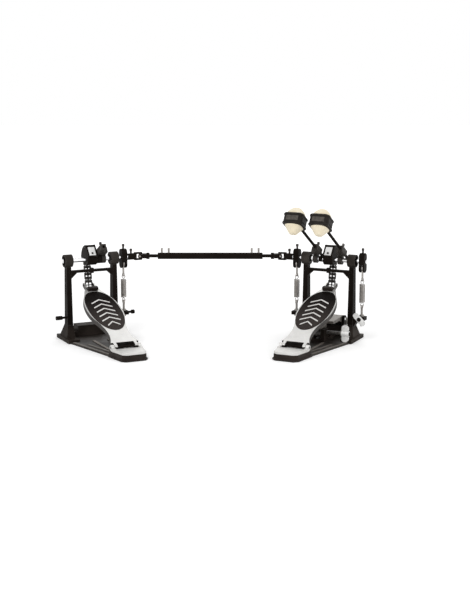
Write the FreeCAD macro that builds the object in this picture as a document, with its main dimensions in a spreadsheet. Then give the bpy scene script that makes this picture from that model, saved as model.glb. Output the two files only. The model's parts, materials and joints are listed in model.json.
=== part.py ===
import FreeCAD, Part
import math
import os
import re
import Sketcher

# Double bass drum pedal: a main pedal with two beaters, a slave pedal and the
# drive shaft between them. Row frame: X along the drive shaft, Y to the drum,
# Z up, origin on the floor under the middle of the main pedal's axle.

# Driving sizes in millimetres and degrees
SIZES = {
    # Layout
    "shaft_height": 176,
    "pedal_yaw": 25.4,
    "pedal_gap": 528,
    # Clearances
    "cut_over": 1,
    "free_gap": 0.4,
    "run_gap": 0.05,
    "seat_gap": 0.02,
    # Base plate
    "base_thick": 4,
    "base_front": 198,
    "base_heel_half": 35,
    "base_toe_half": 66,
    "base_back": 44,
    "lip_back": 60,
    "lip_half": 30,
    "ridge_off": 17,
    "ridge_wide": 6,
    "ridge_high": 2,
    "ridge_inset": 6,
    "anchor_radius": 3.5,
    "anchor_front": 120,
    # Frame casting
    "post_spacing": 107,
    "post_wide": 10.5,
    "post_foot_wide": 13,
    "post_deep": 14,
    "post_foot_deep": 22,
    "foot_inner": 45,
    "foot_outer": 71,
    "foot_front": 48,
    "foot_back": 34,
    "foot_slab": 8,
    "foot_high": 34,
    "flare_out": 6.5,
    "flare_deep": 13,
    "crossbar_drop": 24,
    "crossbar_thick": 5.5,
    "crossbar_deep": 9,
    "crossbar_front": 9,
    "crossbar_boss": 5,
    "gusset": 13,
    "member_front": 8,
    "member_back": 40,
    "member_low": 14,
    "member_high": 27,
    "member_half": 29,
    "housing_radius": 14,
    "housing_len": 18,
    # Bearings and axle
    "shaft_radius": 5,
    "bearing_radius": 11,
    "bearing_len": 8,
    "bearing_groove": 1,
    "bearing_rim": 2.2,
    "spigot_radius": 3,
    "spigot_len": 12,
    "spigot_root": 24,
    "shaft_end": 2.5,
    # Spring rockers
    "rocker_off": 23.5,
    "rocker_wide": 13,
    "rocker_round": 9.5,
    "rocker_rise": 9.5,
    "rocker_arm": 15,
    "rocker_slot": 6,
    "rocker_slot_top": 6.8,
    "rocker_pin": 2,
    # Springs and their links
    "link_play": 1.75,
    "link_wall": 1.9,
    "link_len": 25,
    "link_thick": 3.6,
    "link_hook_radius": 2.2,
    "link_hook_wall": 1.8,
    "coil_radius": 5.7,
    "coil_wire": 0.8,
    "coil_pitch": 2.1,
    "coil_turns": 20,
    "hook_rise": 9,
    "hook_radius": 3.8,
    "hook_gap": 0.8,
    # Spring tension rods and lugs
    "eye_hole": 2.4,
    "eye_wall": 2.2,
    "eye_thick": 3.6,
    "tension_radius": 2.6,
    "tension_low": 144,
    "lug_low": 130,
    "lug_high": 122,
    "lug_half": 9,
    "lug_reach": 9,
    "lug_gusset": 20,
    "nut_radius": 5,
    "nut_high": 4,
    # Cam, with the chain wrapped on it
    "cam_radius": 27,
    "cam_slant": 11,
    "flange_radius": 32,
    "flange_thick": 3,
    "cam_drum_radius": 20.8,
    "cam_hub_radius": 12.5,
    "cam_foot": 8,
    "anchor_wall": 2,
    "cam_screw_radius": 2.4,
    "cam_screw_high": 1.6,
    "plate_long": 25,
    "plate_wide": 17.7,
    "plate_thick": 1.2,
    # Chain
    "chain_pitch": 8,
    "link_plate_half": 3.4,
    "link_plate_thick": 0.9,
    "chain_pin": 1.15,
    "roller_radius": 2.4,
    "strand_off": 3.4,
    "strand_half": 2.3,
    "hang_links": 7,
    "wrap_links": 5,
    "free_wrap_links": 2,
    # Beater holders
    "holder_hub_radius": 10,
    "holder_hub_len": 9,
    "holder_arm_half": 5.5,
    "holder_block_wide": 12,
    "holder_block_half": 6.5,
    "holder_block_low": 14,
    "holder_top": 46,
    "holder_arm_top": 26,
    "main_hub_off": 21.5,
    "second_hub_off": 36.5,
    "slave_block_off": 12,
    # Beaters
    "beater_lean": 60,
    "rod_offset": 10,
    "rod_radius": 3.2,
    "rod_tail": 24,
    "rod_gap": 0.08,
    "rod_seat": 12,
    "head_reach": 184,
    "head_radius": 23.5,
    "head_flat_half": 20.5,
    "head_half": 12,
    "head_rim": 1.5,
    "head_rim_long": 4.5,
    "felt_root_radius": 17.5,
    "felt_tip_radius": 8,
    "felt_long": 15.5,
    "felt_crown": 2,
    # Footboard
    "hinge_back": 204,
    "hinge_high": 20.5,
    "hinge_pin": 2.5,
    "barrel_radius": 6,
    "ear_inner": 19.5,
    "ear_outer": 26,
    "lug_outer": 33.5,
    "board_root": 8.5,
    "board_len": 221,
    "hood_half": 39.5,
    "board_deep": 10,
    "board_skin": 4,
    "board_wall": 3,
    "rib_half": 2,
    "pin_rise": 4.4,
    "grip_centre": 90,
    "grip_long": 76,
    "grip_heel": 55,
    "grip_half": 34.8,
    "grip_recess": 1.2,
    "grip_thick": 1.8,
    "stop_half": 12,
    "stop_long": 9,
    "stop_high": 8.5,
    "stop_end": 2,
    "fork_inner": 9.3,
    "fork_thick": 3.4,
    "fork_eye": 5,
    "fork_pin": 1.8,
    "fork_root": 16,
    # Heel
    "heel_front": 262,
    "heel_front_half": 26,
    "heel_side_half": 30,
    "heel_chamfer": 9,
    "heel_skirt": 3,
    "heel_skirt_high": 4,
    "heel_high": 13.5,
    "heel_plate_thick": 5,
    "heel_plate_inset": 3.5,
    "heel_plate_back": 213,
    # Universal joints and drive shaft
    "joint_off": 118,
    "hub_radius": 7.25,
    "hub_root": 87,
    "yoke_base": 10,
    "yoke_base_thick": 4,
    "yoke_ear_in": 5.2,
    "yoke_ear_out": 8.7,
    "yoke_ear_half": 4.6,
    "cross_half": 3.6,
    "cross_pin": 2,
    "cross_play": 0.5,
    "link_hub_len": 7,
    "hex_flats": 7,
    "tube_radius": 7.3,
    "tube_bore": 4.2,
    "tube_inset": 39.7,
    "left_insert": 110,
    "right_insert": 80,
    "bolt_inset": 9,
    "bolt_step": 15.5,
    # Key bolts
    "key_radius": 2.25,
    "key_head_half": 2.4,
    "key_head_high": 5.5,
    "key_stand": 5,
    # Base screws and side knobs
    "screw_radius": 4.5,
    "screw_high": 2.6,
    "knob_stem": 2.6,
    "knob_radius": 4.6,
    "knob_stem_long": 9,
    "knob_long": 14,
    # Hoop clamp
    "jaw_half": 26,
    "jaw_pivot_back": 22,
    "jaw_pivot_high": 40.5,
    "jaw_pin": 3,
    "jaw_tail": 40,
    "jaw_tail_low": 39.4,
    "jaw_thick": 6,
    "jaw_nose": 58,
    "jaw_nose_low": 23,
    "jaw_nose_thick": 12,
    "jaw_belly": 33,
    "jaw_ear": 5,
    "jaw_ear_half": 8,
    "seat_half": 22,
    "seat_thick": 3,
    "seat_front": 42,
    "seat_back": 58,
    "cheek_half": 18,
    "cheek_slot": 9,
    "cheek_front": 74,
    "cheek_high": 33,
    "cheek_floor": 10,
    "clamp_screw_front": 60,
    "clamp_screw_high": 25,
    "clamp_screw_radius": 4,
    "lobe_radius": 9,
    "lobe_throw": 4,
    "lobe_half": 8,
    "wing_root": 50,
    "wing_hub_radius": 6,
    "wing_hub_len": 20,
    "wing_half": 19,
    "wing_thick": 4.5,
    "wing_round": 8.5,
    "lug_wing_off": 6,
    "lug_wing_half": 17,
    "lug_wing_round": 6,
    "lug_wing_tilt": 45,
}

# Outline of the footboard's right edge: share of the board's length, share of the hood's half width
BOARD_SHARES = (
    (0.104, 0.66),
    (0.2, 0.592),
    (0.27, 0.615),
    (0.385, 0.76),
    (0.484, 0.93),
    (0.62, 1.0),
    (0.751, 0.92),
    (0.846, 0.76),
    (0.928, 0.557),
)
BOARD_HEEL_SHARE = 0.785
BOARD_TOE_SHARE = 0.4
# Flat player's face of the cam, as shares of the flange's radius to the drum and up
CAM_FACE_SHARES = ((-0.5, 0.25), (0.12, 1.02))

V = FreeCAD.Vector
X_AXIS = V(1, 0, 0)
Y_AXIS = V(0, 1, 0)
Z_AXIS = V(0, 0, 1)
UPRIGHT = {"x": (Y_AXIS, 90), "y": (X_AXIS, -90), "z": (Z_AXIS, 0)}

doc = FreeCAD.newDocument("double_pedal")
sheet = doc.addObject("Spreadsheet::Sheet", "dims")
for row, (alias, number) in enumerate(SIZES.items(), start=1):
    sheet.set(f"A{row}", alias)
    sheet.set(f"B{row}", str(number))
    sheet.setAlias(f"B{row}", alias)
doc.recompute()

nodes = []


# Places that several pieces share, as expressions on the sheet
BEARING = "post_spacing / 2"
ROCKER = "(post_spacing / 2 + rocker_off)"
ROCKER_IN = f"({ROCKER} - rocker_wide / 2)"
ROCKER_OUT = f"({ROCKER} + rocker_wide / 2)"
CHAIN_ROOM = "(strand_off + strand_half + 2 * link_plate_thick + 2 * free_gap)"
CAM_SIDE = f"({CHAIN_ROOM} + flange_thick)"
HEEL_TOP = "(heel_high + heel_plate_thick)"
SHAFT_TIP = "joint_off - yoke_base - yoke_base_thick"
LUG_LOW = "(shaft_height - lug_low)"
LUG_HIGH = "(shaft_height - lug_high)"
LUG_MIDDLE = "(shaft_height - (lug_low + lug_high) / 2)"
SPRING_TOP = "(rocker_arm + link_len + link_hook_radius - coil_wire - hook_gap)"
SPRING_FOOT = f"({SPRING_TOP} + 2 * hook_rise + coil_turns * coil_pitch)"
EYE_DROP = f"({SPRING_FOOT} + eye_hole - coil_wire - hook_gap)"


def sheet_text(text):
    """The expression with the sheet's name before each of its aliases."""
    return re.sub(r"[a-z_]{2,}", lambda found: f"dims.{found[0]}" if found[0] in SIZES else found[0], text)


def size(text):
    """The value of an expression on the sheet."""
    return float(sheet.evalExpression(text))


def bind(item, **texts):
    """Tie properties of a document object to expressions on the sheet."""
    for prop, text in texts.items():
        item.setExpression(prop, sheet_text(text))
    return item


def bind_place(item, **texts):
    """Tie the coordinates of an object's position to expressions on the sheet."""
    for axis, text in texts.items():
        item.setExpression(f"Placement.Base.{axis}", sheet_text(text))
    return item


def block(x, y, z):
    """A box between pairs of levels along each axis."""
    item = doc.addObject("Part::Box", "block")
    for prop, axis, (low, high) in zip(("Length", "Width", "Height"), "xyz", (x, y, z)):
        bind(item, **{prop: f"({high}) - ({low})"})
        bind_place(item, **{axis: low})
    return item


def turned(kind, axis, span, at):
    """A round solid laid along an axis between two levels, at the other two coordinates."""
    item = doc.addObject(kind, "turned")
    item.Placement = FreeCAD.Placement(V(), FreeCAD.Rotation(*UPRIGHT[axis]))
    bind(item, Height=f"({span[1]}) - ({span[0]})")
    others = [name for name in "xyz" if name != axis]
    bind_place(item, **{axis: span[0]}, **dict(zip(others, at)))
    return item


def rod(axis, radius, span, at=("0", "0")):
    return bind(turned("Part::Cylinder", axis, span, at), Radius=radius)


def cone(axis, radii, span, at=("0", "0")):
    return bind(turned("Part::Cone", axis, span, at), Radius1=radii[0], Radius2=radii[1])


def hex_bar(flats, span, at):
    """A hexagonal bar along X with a flat on top."""
    item = turned("Part::Prism", "x", span, at)
    item.Polygon = 6
    turn = FreeCAD.Rotation(*UPRIGHT["x"]) * FreeCAD.Rotation(Z_AXIS, 180 / item.Polygon)
    item.Placement = FreeCAD.Placement(item.Placement.Base, turn)
    return bind(item, Circumradius=f"{flats} / 2 / cos(180 / {item.Polygon})")


def taper(levels, low, high):
    """An upright tapered block between a rectangle at the lower level and one at the upper."""
    item = doc.addObject("Part::Wedge", "taper")
    bind(item, Ymin=levels[0], Ymax=levels[1])
    bind(item, Xmin=low[0][0], Xmax=low[0][1], Zmin=f"-({low[1][1]})", Zmax=f"-({low[1][0]})")
    bind(item, X2min=high[0][0], X2max=high[0][1], Z2min=f"-({high[1][1]})", Z2max=f"-({high[1][0]})")
    item.Placement = FreeCAD.Placement(V(), FreeCAD.Rotation(X_AXIS, 90))
    return item


def join(*items):
    if len(items) == 1:
        return items[0]
    item = doc.addObject("Part::MultiFuse", "join")
    item.Shapes = list(items)
    return item


def cut(base, *tools):
    item = doc.addObject("Part::Cut", "cut")
    item.Base = base
    item.Tool = join(*tools)
    return item


def common(first, second):
    item = doc.addObject("Part::Common", "common")
    item.Base = first
    item.Tool = second
    return item


def side(way, low, high):
    """A span on the positive side, or its mirror image for a way of -1."""
    return (low, high) if way > 0 else (f"-({high})", f"-({low})")


def sketch_in(body, plane, level):
    """A sketch on one of the body's origin planes, lifted along the plane's normal."""
    sketch = body.newObject("Sketcher::SketchObject", "sketch")
    support = [item for item in body.Origin.OriginFeatures if item.Role == plane]
    sketch.AttachmentSupport = [(support[0], "")]
    sketch.MapMode = "FlatFace"
    sketch.setExpression("AttachmentOffset.Base.z", sheet_text(level))
    return sketch


def draw_polygon(sketch, points):
    """A closed polygon whose corners are bound to pairs of expressions."""
    corners = [V(size(across), size(up), 0) for across, up in points]
    count = len(corners)
    for index, corner in enumerate(corners):
        sketch.addGeometry(Part.LineSegment(corner, corners[(index + 1) % count]), False)
    for index, (across, up) in enumerate(points):
        sketch.addConstraint(Sketcher.Constraint("Coincident", index, 2, (index + 1) % count, 1))
        for kind, text in (("DistanceX", across), ("DistanceY", up)):
            number = sketch.addConstraint(Sketcher.Constraint(kind, -1, 1, index, 1, size(text)))
            sketch.setExpression(f"Constraints[{number}]", sheet_text(text))


def padded(plane, span, draw):
    """A body padded between two levels of a plane from the sketch that draw makes."""
    body = doc.addObject("PartDesign::Body", "body")
    level = f"-({span[1]})" if plane == "XZ_Plane" else span[0]
    sketch = sketch_in(body, plane, level)
    draw(sketch)
    pad = body.newObject("PartDesign::Pad", "pad")
    pad.Profile = sketch
    bind(pad, Length=f"({span[1]}) - ({span[0]})")
    return body


def plate(plane, span, points):
    """A body padded from a polygon."""
    return padded(plane, span, lambda sketch: draw_polygon(sketch, points))


def mirrored(points):
    """Corners of the right half of an outline with their mirror images, in order."""
    return list(points) + [(f"-({across})", up) for across, up in reversed(points)]


def placed(placement, *items):
    """Pieces moved together into another frame."""
    item = doc.addObject("Part::Compound", "placed")
    item.Links = list(items)
    item.Placement = placement
    return item


def node(label, placement, *items):
    """A named sub-part of one or more separate solids, placed in the row frame."""
    item = placed(placement, *items)
    item.Label = label
    nodes.append(item)
    return item


def shape_feature(shape):
    """A document object that holds a shape worked out from the sheet."""
    item = doc.addObject("Part::Feature", "shape")
    item.Shape = shape
    return item


def move(x, y, z):
    return FreeCAD.Placement(V(x, y, z), FreeCAD.Rotation())


def tilt(degrees):
    """A turn about X."""
    return FreeCAD.Placement(V(), FreeCAD.Rotation(X_AXIS, degrees))


# Frames of reference
def pedal_frame(pedal):
    way = 1 if pedal == "slave" else -1
    place = V(-size("pedal_gap"), 0, 0) if pedal == "slave" else V()
    return FreeCAD.Placement(place, FreeCAD.Rotation(Z_AXIS, way * size("pedal_yaw")))


def axle_frame(pedal):
    return pedal_frame(pedal) * move(0, 0, size("shaft_height"))


def beater_frame(pedal):
    """Origin on the axle, Z along the beater's rod."""
    return axle_frame(pedal) * tilt(size("beater_lean"))


# Side view of the chain: pins from the fork's pin up to the cam, drum side and up from the axle
def chain_pins():
    pitch = size("chain_pitch")
    radius = size("cam_radius")
    slant = math.radians(size("cam_slant"))
    step = 2 * math.asin(pitch / 2 / radius)
    hang = int(size("hang_links"))
    leave = V(0, radius * math.cos(slant), -radius * math.sin(slant))
    along = V(0, -math.sin(slant), -math.cos(slant))
    pins = [leave + along * (pitch * (hang - count)) for count in range(hang)]
    for count in range(int(size("wrap_links")) + 1):
        angle = count * step - slant
        pins.append(V(0, radius * math.cos(angle), radius * math.sin(angle)))
    return pins


def board_tilt():
    """Slope of the footboard, and the distance along it from its hinge to the fork's pin."""
    fork = chain_pins()[0]
    across = fork.y + size("hinge_back")
    rise = fork.z + size("shaft_height") - size("hinge_high")
    reach = math.hypot(across, rise)
    slope = math.atan2(rise, across) - math.asin(size("pin_rise") / reach)
    return math.degrees(slope), math.sqrt(reach ** 2 - size("pin_rise") ** 2)


def board_frame(pedal):
    """Origin on the heel hinge, Y up the footboard, Z square to it."""
    slope = board_tilt()[0]
    return pedal_frame(pedal) * move(0, -size("hinge_back"), size("hinge_high")) * tilt(slope)


def joint_centre(pedal):
    way = 1 if pedal == "slave" else -1
    return pedal_frame(pedal).multVec(V(way * size("joint_off"), 0, size("shaft_height")))


# Base and frame
def base_plate(pedal):
    neck = "foot_inner - seat_gap"
    step = "-(foot_front + seat_gap)"
    right = [("base_heel_half", "-base_front"), ("base_toe_half", step), (neck, step), (neck, "base_back")]
    if pedal == "main":
        right += [("lip_half", "base_back"), ("lip_half", "lip_back")]
    flat = plate("XY_Plane", ("0", "base_thick"), mirrored(right))
    along = ("ridge_inset - base_front", "-(foot_front + ridge_inset + heel_skirt)")
    if pedal == "main":
        along = (along[0], "-(cheek_front + ridge_inset)")
    ridges = []
    for way in (-1, 1):
        across = side(way, "ridge_off - ridge_wide / 2", "ridge_off + ridge_wide / 2")
        ridges.append(block(across, along, ("base_thick / 2", "base_thick + ridge_high")))
    hole = rod("z", "anchor_radius", ("-cut_over", "base_thick + cut_over"), ("0", "-anchor_front"))
    node(f"{pedal}_base_plate", pedal_frame(pedal), cut(join(flat, *ridges), hole))


def frame(pedal):
    """Two posts on splayed feet, a crossbar, a cross member and the spring lugs in one casting."""
    solids = []
    hollows = []
    for way in (-1, 1):
        centre = side(way, f"{BEARING} - post_foot_wide / 2", f"{BEARING} + post_foot_wide / 2")
        waist = side(way, f"{BEARING} - post_wide / 2", f"{BEARING} + post_wide / 2")
        spread = side(way, "foot_inner", "foot_outer")
        deep = ("-post_foot_deep / 2", "post_foot_deep / 2")
        sole = ("-foot_front", "foot_back")
        solids.append(block(spread, sole, ("0", "foot_slab")))
        flare = side(way, f"{BEARING} - post_foot_wide / 2", f"{BEARING} + post_foot_wide / 2 + flare_out")
        around = ("-post_foot_deep / 2 - flare_deep", "post_foot_deep / 2 + flare_deep")
        solids.append(taper(("foot_slab", "foot_high"), (flare, around), (centre, deep)))
        top = ("-post_deep / 2", "post_deep / 2")
        solids.append(taper(("foot_slab", "shaft_height"), (centre, deep), (waist, top)))
        ends = side(way, f"{BEARING} - housing_len / 2", f"{BEARING} + housing_len / 2")
        solids.append(rod("x", "housing_radius", ends, ("0", "shaft_height")))
        outer = f"{BEARING} + housing_len / 2 + cut_over"
        hollows.append(rod("x", "bearing_radius + seat_gap", side(way, f"{BEARING} - bearing_len / 2", outer),
                           ("0", "shaft_height")))
        through = side(way, f"{BEARING} - housing_len / 2 - cut_over", outer)
        hollows.append(rod("x", "shaft_radius + bearing_rim", through, ("0", "shaft_height")))
        level = "shaft_height - crossbar_drop - crossbar_thick / 2"
        inner = f"{BEARING} - post_wide / 2"
        corner = [(f"{way} * ({inner} + cut_over)", level), (f"{way} * ({inner} - gusset)", level),
                  (f"{way} * ({inner} + cut_over)", f"{level} - gusset")]
        bar = ("-crossbar_front", "crossbar_deep - crossbar_front")
        solids.append(plate("XZ_Plane", bar, corner))
    bar_height = ("shaft_height - crossbar_drop - crossbar_thick / 2",
                  "shaft_height - crossbar_drop + crossbar_thick / 2")
    solids.append(block((f"-{BEARING}", BEARING), bar, bar_height))
    boss = (f"{bar_height[0]} - crossbar_thick / 2", f"{bar_height[1]} + crossbar_thick / 2")
    solids.append(rod("z", "crossbar_boss", boss, ("0", "crossbar_deep / 2 - crossbar_front")))
    span = ("member_front", "member_back")
    member_end = f"{BEARING} - post_foot_wide / 2 + cut_over"
    across = (f"-({member_end})", member_end)
    solids.append(block(across, span, ("base_thick", "member_low")))
    solids.append(block(("-member_half", "member_half"), span, ("base_thick", "member_high")))
    for way in spring_ways(pedal):
        root = f"{BEARING} + post_wide / 2"
        reach = f"{ROCKER} + lug_reach"
        lug = ("-lug_half", "lug_half")
        solids.append(block(side(way, BEARING, reach), lug, (LUG_LOW, LUG_HIGH)))
        web = [(f"{way} * ({root})", LUG_LOW), (f"{way} * ({ROCKER} - nut_radius - link_play)", LUG_LOW),
               (f"{way} * ({root})", f"{LUG_LOW} - lug_gusset")]
        solids.append(plate("XZ_Plane", lug, web))
        over = (f"{LUG_LOW} - cut_over", f"{LUG_HIGH} + cut_over")
        hollows.append(rod("z", "tension_radius + seat_gap", over, (f"{way} * {ROCKER}", "0")))
    if pedal == "main":
        clamp_solids, clamp_hollows = hoop_carrier()
        solids += clamp_solids
        hollows += clamp_hollows
    else:
        seat = side(-1, f"{BEARING} - seat_gap", f"{BEARING} + post_foot_wide / 2 + flare_out + cut_over")
        hollows.append(rod("x", "knob_stem + seat_gap", seat, ("0", LUG_MIDDLE)))
    node(f"{pedal}_frame", pedal_frame(pedal), cut(join(*solids), *hollows))


def spring_ways(pedal):
    """Sides of the pedal that carry a spring."""
    return (-1, 1) if pedal == "main" else (1,)


def hoop_carrier():
    """Ears for the hoop jaw's pivot and the cheeks that carry its lifting screw."""
    pivot = ("jaw_pivot_back", "jaw_pivot_high")
    solids = []
    for way in (-1, 1):
        across = side(way, "jaw_half + free_gap", "jaw_half + free_gap + jaw_ear")
        deep = ("jaw_pivot_back - jaw_ear_half", "jaw_pivot_back + jaw_ear_half")
        solids.append(block(across, deep, ("member_low", "jaw_pivot_high")))
        solids.append(rod("x", "jaw_ear_half", across, pivot))
    deep = ("-cheek_front", "member_front")
    solids.append(block(("-cheek_half", "cheek_half"), deep, ("base_thick", "cheek_floor")))
    for way in (-1, 1):
        across = side(way, "cheek_slot", "cheek_half")
        deep = ("-cheek_front", "cheek_slot - clamp_screw_front")
        solids.append(block(across, deep, ("base_thick", "cheek_high")))
    reach = ("-(jaw_half + free_gap + jaw_ear + cut_over)", "jaw_half + free_gap + jaw_ear + cut_over")
    hollows = [rod("x", "jaw_pin + seat_gap", reach, pivot)]
    through = ("-cheek_half - cut_over", "cheek_half + cut_over")
    at = ("-clamp_screw_front", "clamp_screw_high")
    hollows.append(rod("x", "clamp_screw_radius + run_gap", through, at))
    return solids, hollows


def bearings(pedal):
    rings = []
    for way in (-1, 1):
        low = f"{way} * {BEARING} - bearing_len / 2"
        high = f"{way} * {BEARING} + bearing_len / 2"
        at = ("0", "shaft_height")
        ring = rod("x", "bearing_radius", (low, high), at)
        bore = rod("x", "shaft_radius + run_gap", (f"{low} - cut_over", f"{high} + cut_over"), at)
        tools = [bore]
        for start, end in ((f"{low} - cut_over", f"{low} + bearing_groove"),
                           (f"{high} - bearing_groove", f"{high} + cut_over")):
            outer = rod("x", "bearing_radius - bearing_rim", (start, end), at)
            tools.append(cut(outer, rod("x", "shaft_radius + bearing_rim", (start, end), at)))
        rings.append(cut(ring, *tools))
    node(f"{pedal}_bearings", pedal_frame(pedal), *rings)


# Heel
def heel(pedal):
    def footprint(inset):
        return mirrored([
            (f"heel_front_half - heel_chamfer / 2 - {inset}", f"{inset} - heel_front"),
            (f"heel_side_half - {inset}", "heel_chamfer - heel_front"),
            (f"base_heel_half + heel_skirt - {inset}", "-base_front"),
        ])
    skirt = plate("XY_Plane", ("0", "heel_skirt_high"), footprint("0"))
    body = plate("XY_Plane", ("0", "heel_high"), footprint("heel_skirt"))
    node(f"{pedal}_heel_block", pedal_frame(pedal), join(skirt, body))
    inset = "heel_plate_inset"
    top = plate("XY_Plane", ("heel_high", HEEL_TOP), mirrored([
        (f"heel_front_half - heel_chamfer / 2 - {inset}", f"{inset} - heel_front"),
        (f"heel_side_half - {inset}", "heel_chamfer - heel_front"),
        ("lug_outer", "-heel_plate_back"),
    ]))
    solids = [top]
    holes = []
    for way in (-1, 1):
        across = side(way, "ear_outer + free_gap", "lug_outer")
        along = ("-heel_plate_back - barrel_radius", "-hinge_back")
        solids.append(block(across, along, ("heel_high", "hinge_high")))
        solids.append(rod("x", "barrel_radius", across, ("-hinge_back", "hinge_high")))
        beyond = side(way, "ear_outer", "lug_outer + cut_over")
        holes.append(rod("x", "hinge_pin + seat_gap", beyond, ("-hinge_back", "hinge_high")))
    node(f"{pedal}_heel_plate", pedal_frame(pedal), cut(join(*solids), *holes))


# Footboard
def board_curve(inset):
    """Right edge of the footboard, drawn in by an inset, from heel to toe."""
    half = size("hood_half")
    long = size("board_len")
    shares = [(size("board_root") / long, BOARD_HEEL_SHARE)] + list(BOARD_SHARES) + [(1, BOARD_TOE_SHARE)]
    points = [V(wide * half - inset, along * long, 0) for along, wide in shares]
    points[0].y += inset
    points[-1].y -= inset
    return points


def draw_board(sketch, inset):
    right = board_curve(inset)
    left = [V(-point.x, point.y, 0) for point in reversed(right)]
    for points in (right, left):
        curve = Part.BSplineCurve()
        curve.interpolate(points)
        sketch.addGeometry(curve, False)
    sketch.addGeometry(Part.LineSegment(right[-1], left[0]), False)
    sketch.addGeometry(Part.LineSegment(left[-1], right[0]), False)


def draw_grip(sketch, grow):
    half = size("grip_half") + grow
    toe = size("grip_long") + grow
    heel = size("board_len - grip_centre - grip_heel") + grow
    centre = V(0, size("board_len - grip_centre"), 0)
    for tip in (toe, -heel):
        oval = Part.Ellipse(centre + V(0, tip, 0), centre + V(half, 0, 0), centre)
        sketch.addGeometry(Part.ArcOfEllipse(oval, -math.pi / 2, math.pi / 2), False)


def footboard(pedal):
    top = "barrel_radius"
    shell = padded("XY_Plane", (f"{top} - board_deep", top), lambda sketch: draw_board(sketch, 0))
    hollow = padded("XY_Plane", (f"{top} - board_deep - cut_over", f"{top} - board_skin"),
                    lambda sketch: draw_board(sketch, size("board_wall")))
    recess = padded("XY_Plane", (f"{top} - grip_recess", f"{top} + cut_over"),
                    lambda sketch: draw_grip(sketch, size("seat_gap")))
    solids = [cut(shell, hollow, recess)]
    inner = "board_root + board_wall / 2"
    solids.append(block(("-rib_half", "rib_half"), (inner, "board_len - board_wall / 2"),
                        (f"{top} - board_deep", f"{top} - board_skin / 2 - grip_recess")))
    holes = []
    pin_along = str(board_tilt()[1])
    root = f"min(board_len; {pin_along}) - fork_root"
    for way in (-1, 1):
        across = side(way, "ear_inner", "ear_outer")
        solids.append(rod("x", "barrel_radius", across))
        solids.append(block(across, ("0", "board_root + board_wall"), (f"{top} - board_deep", top)))
        beyond = side(way, "ear_inner - cut_over", "ear_outer + cut_over")
        holes.append(rod("x", "hinge_pin + run_gap", beyond))
        prong = side(way, "fork_inner", "fork_inner + fork_thick")
        low = "pin_rise - fork_eye"
        solids.append(block(prong, (root, pin_along), (low, "pin_rise + fork_eye")))
        solids.append(rod("x", "fork_eye", prong, (pin_along, "pin_rise")))
        through = side(way, "fork_inner - cut_over", "fork_inner + fork_thick + cut_over")
        holes.append(rod("x", "fork_pin + run_gap", through, (pin_along, "pin_rise")))
    trim_end = f"min(board_len; {pin_along} - fork_eye)"
    fork_trim = block(("-fork_inner - fork_thick", "fork_inner + fork_thick"),
                      (f"{root} - cut_over", trim_end),
                      (top, "pin_rise + fork_eye + cut_over"))
    toe = f"max(board_len; {pin_along}) + cut_over"
    chain_way = block(("-fork_inner", "fork_inner"), (f"{pin_along} - link_plate_half - free_gap", toe),
                      (f"{top} - board_deep - cut_over", f"{top} + cut_over"))
    node(f"{pedal}_footboard", board_frame(pedal), cut(join(*solids), fork_trim, chain_way, *holes))
    pad = padded("XY_Plane", (f"{top} - grip_recess", f"{top} - grip_recess + grip_thick"),
                 lambda sketch: draw_grip(sketch, 0))
    stop = block(("-stop_half", "stop_half"), ("board_len - stop_end - stop_long", "board_len - stop_end"),
                 (top, f"{top} + stop_high"))
    node(f"{pedal}_grip_pad", board_frame(pedal), pad, stop)


# Axle with what turns on it
def axle(label, pedal, span, spigot=None, socket=None):
    bar = rod("x", "shaft_radius", span)
    if spigot:
        bar = join(bar, rod("x", "spigot_radius", spigot))
    if socket:
        bar = cut(bar, rod("x", "spigot_radius + run_gap", socket))
    node(label, axle_frame(pedal), bar)


def cam(pedal):
    low, high = CAM_FACE_SHARES
    foot = (f"{low[0]} * flange_radius", f"{low[1]} * flange_radius")
    crest = (f"{high[0]} * flange_radius", f"{high[1]} * flange_radius")
    beyond = "flange_radius + cut_over"
    profile = [foot, crest, (beyond, crest[1]), (beyond, "-cam_foot"), ("0", "-cam_foot")]
    wall = (f"-{CAM_SIDE}", CAM_SIDE)
    drum = rod("x", "cam_drum_radius", wall)
    flanges = [rod("x", "flange_radius", side(way, CHAIN_ROOM, CAM_SIDE)) for way in (-1, 1)]
    sector = common(join(drum, *flanges), plate("YZ_Plane", wall, profile))
    hub = rod("x", "cam_hub_radius", wall)
    bore = rod("x", "shaft_radius + seat_gap", (f"-{CAM_SIDE} - cut_over", f"{CAM_SIDE} + cut_over"))
    end = chain_pins()[-1]
    at = (str(end.y), str(end.z))
    anchor = rod("x", "chain_pin + seat_gap", (f"-{CAM_SIDE} - cut_over", f"{CAM_SIDE} + cut_over"), at)
    bosses = [rod("x", "chain_pin + anchor_wall", side(way, CHAIN_ROOM, CAM_SIDE), at) for way in (-1, 1)]
    solid = cut(join(sector, hub, *bosses), bore, anchor)
    # Bare face plate with one screw, lying on the flat of the cam
    rise = math.degrees(math.atan2(high[1] - low[1], high[0] - low[0]))
    middle = [size("flange_radius") * (start + stop) / 2 for start, stop in zip(low, high)]
    face = move(0, *middle) * tilt(rise)
    sheet_plate = block(("-plate_wide / 2", "plate_wide / 2"), ("-plate_long / 2", "plate_long / 2"),
                        ("0", "plate_thick"))
    screw = rod("z", "cam_screw_radius", ("plate_thick", "plate_thick + cam_screw_high"),
                ("0", "cam_screw_radius * 2 - plate_long / 2"))
    node(f"{pedal}_cam", axle_frame(pedal), solid, placed(face, sheet_plate, screw))


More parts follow.
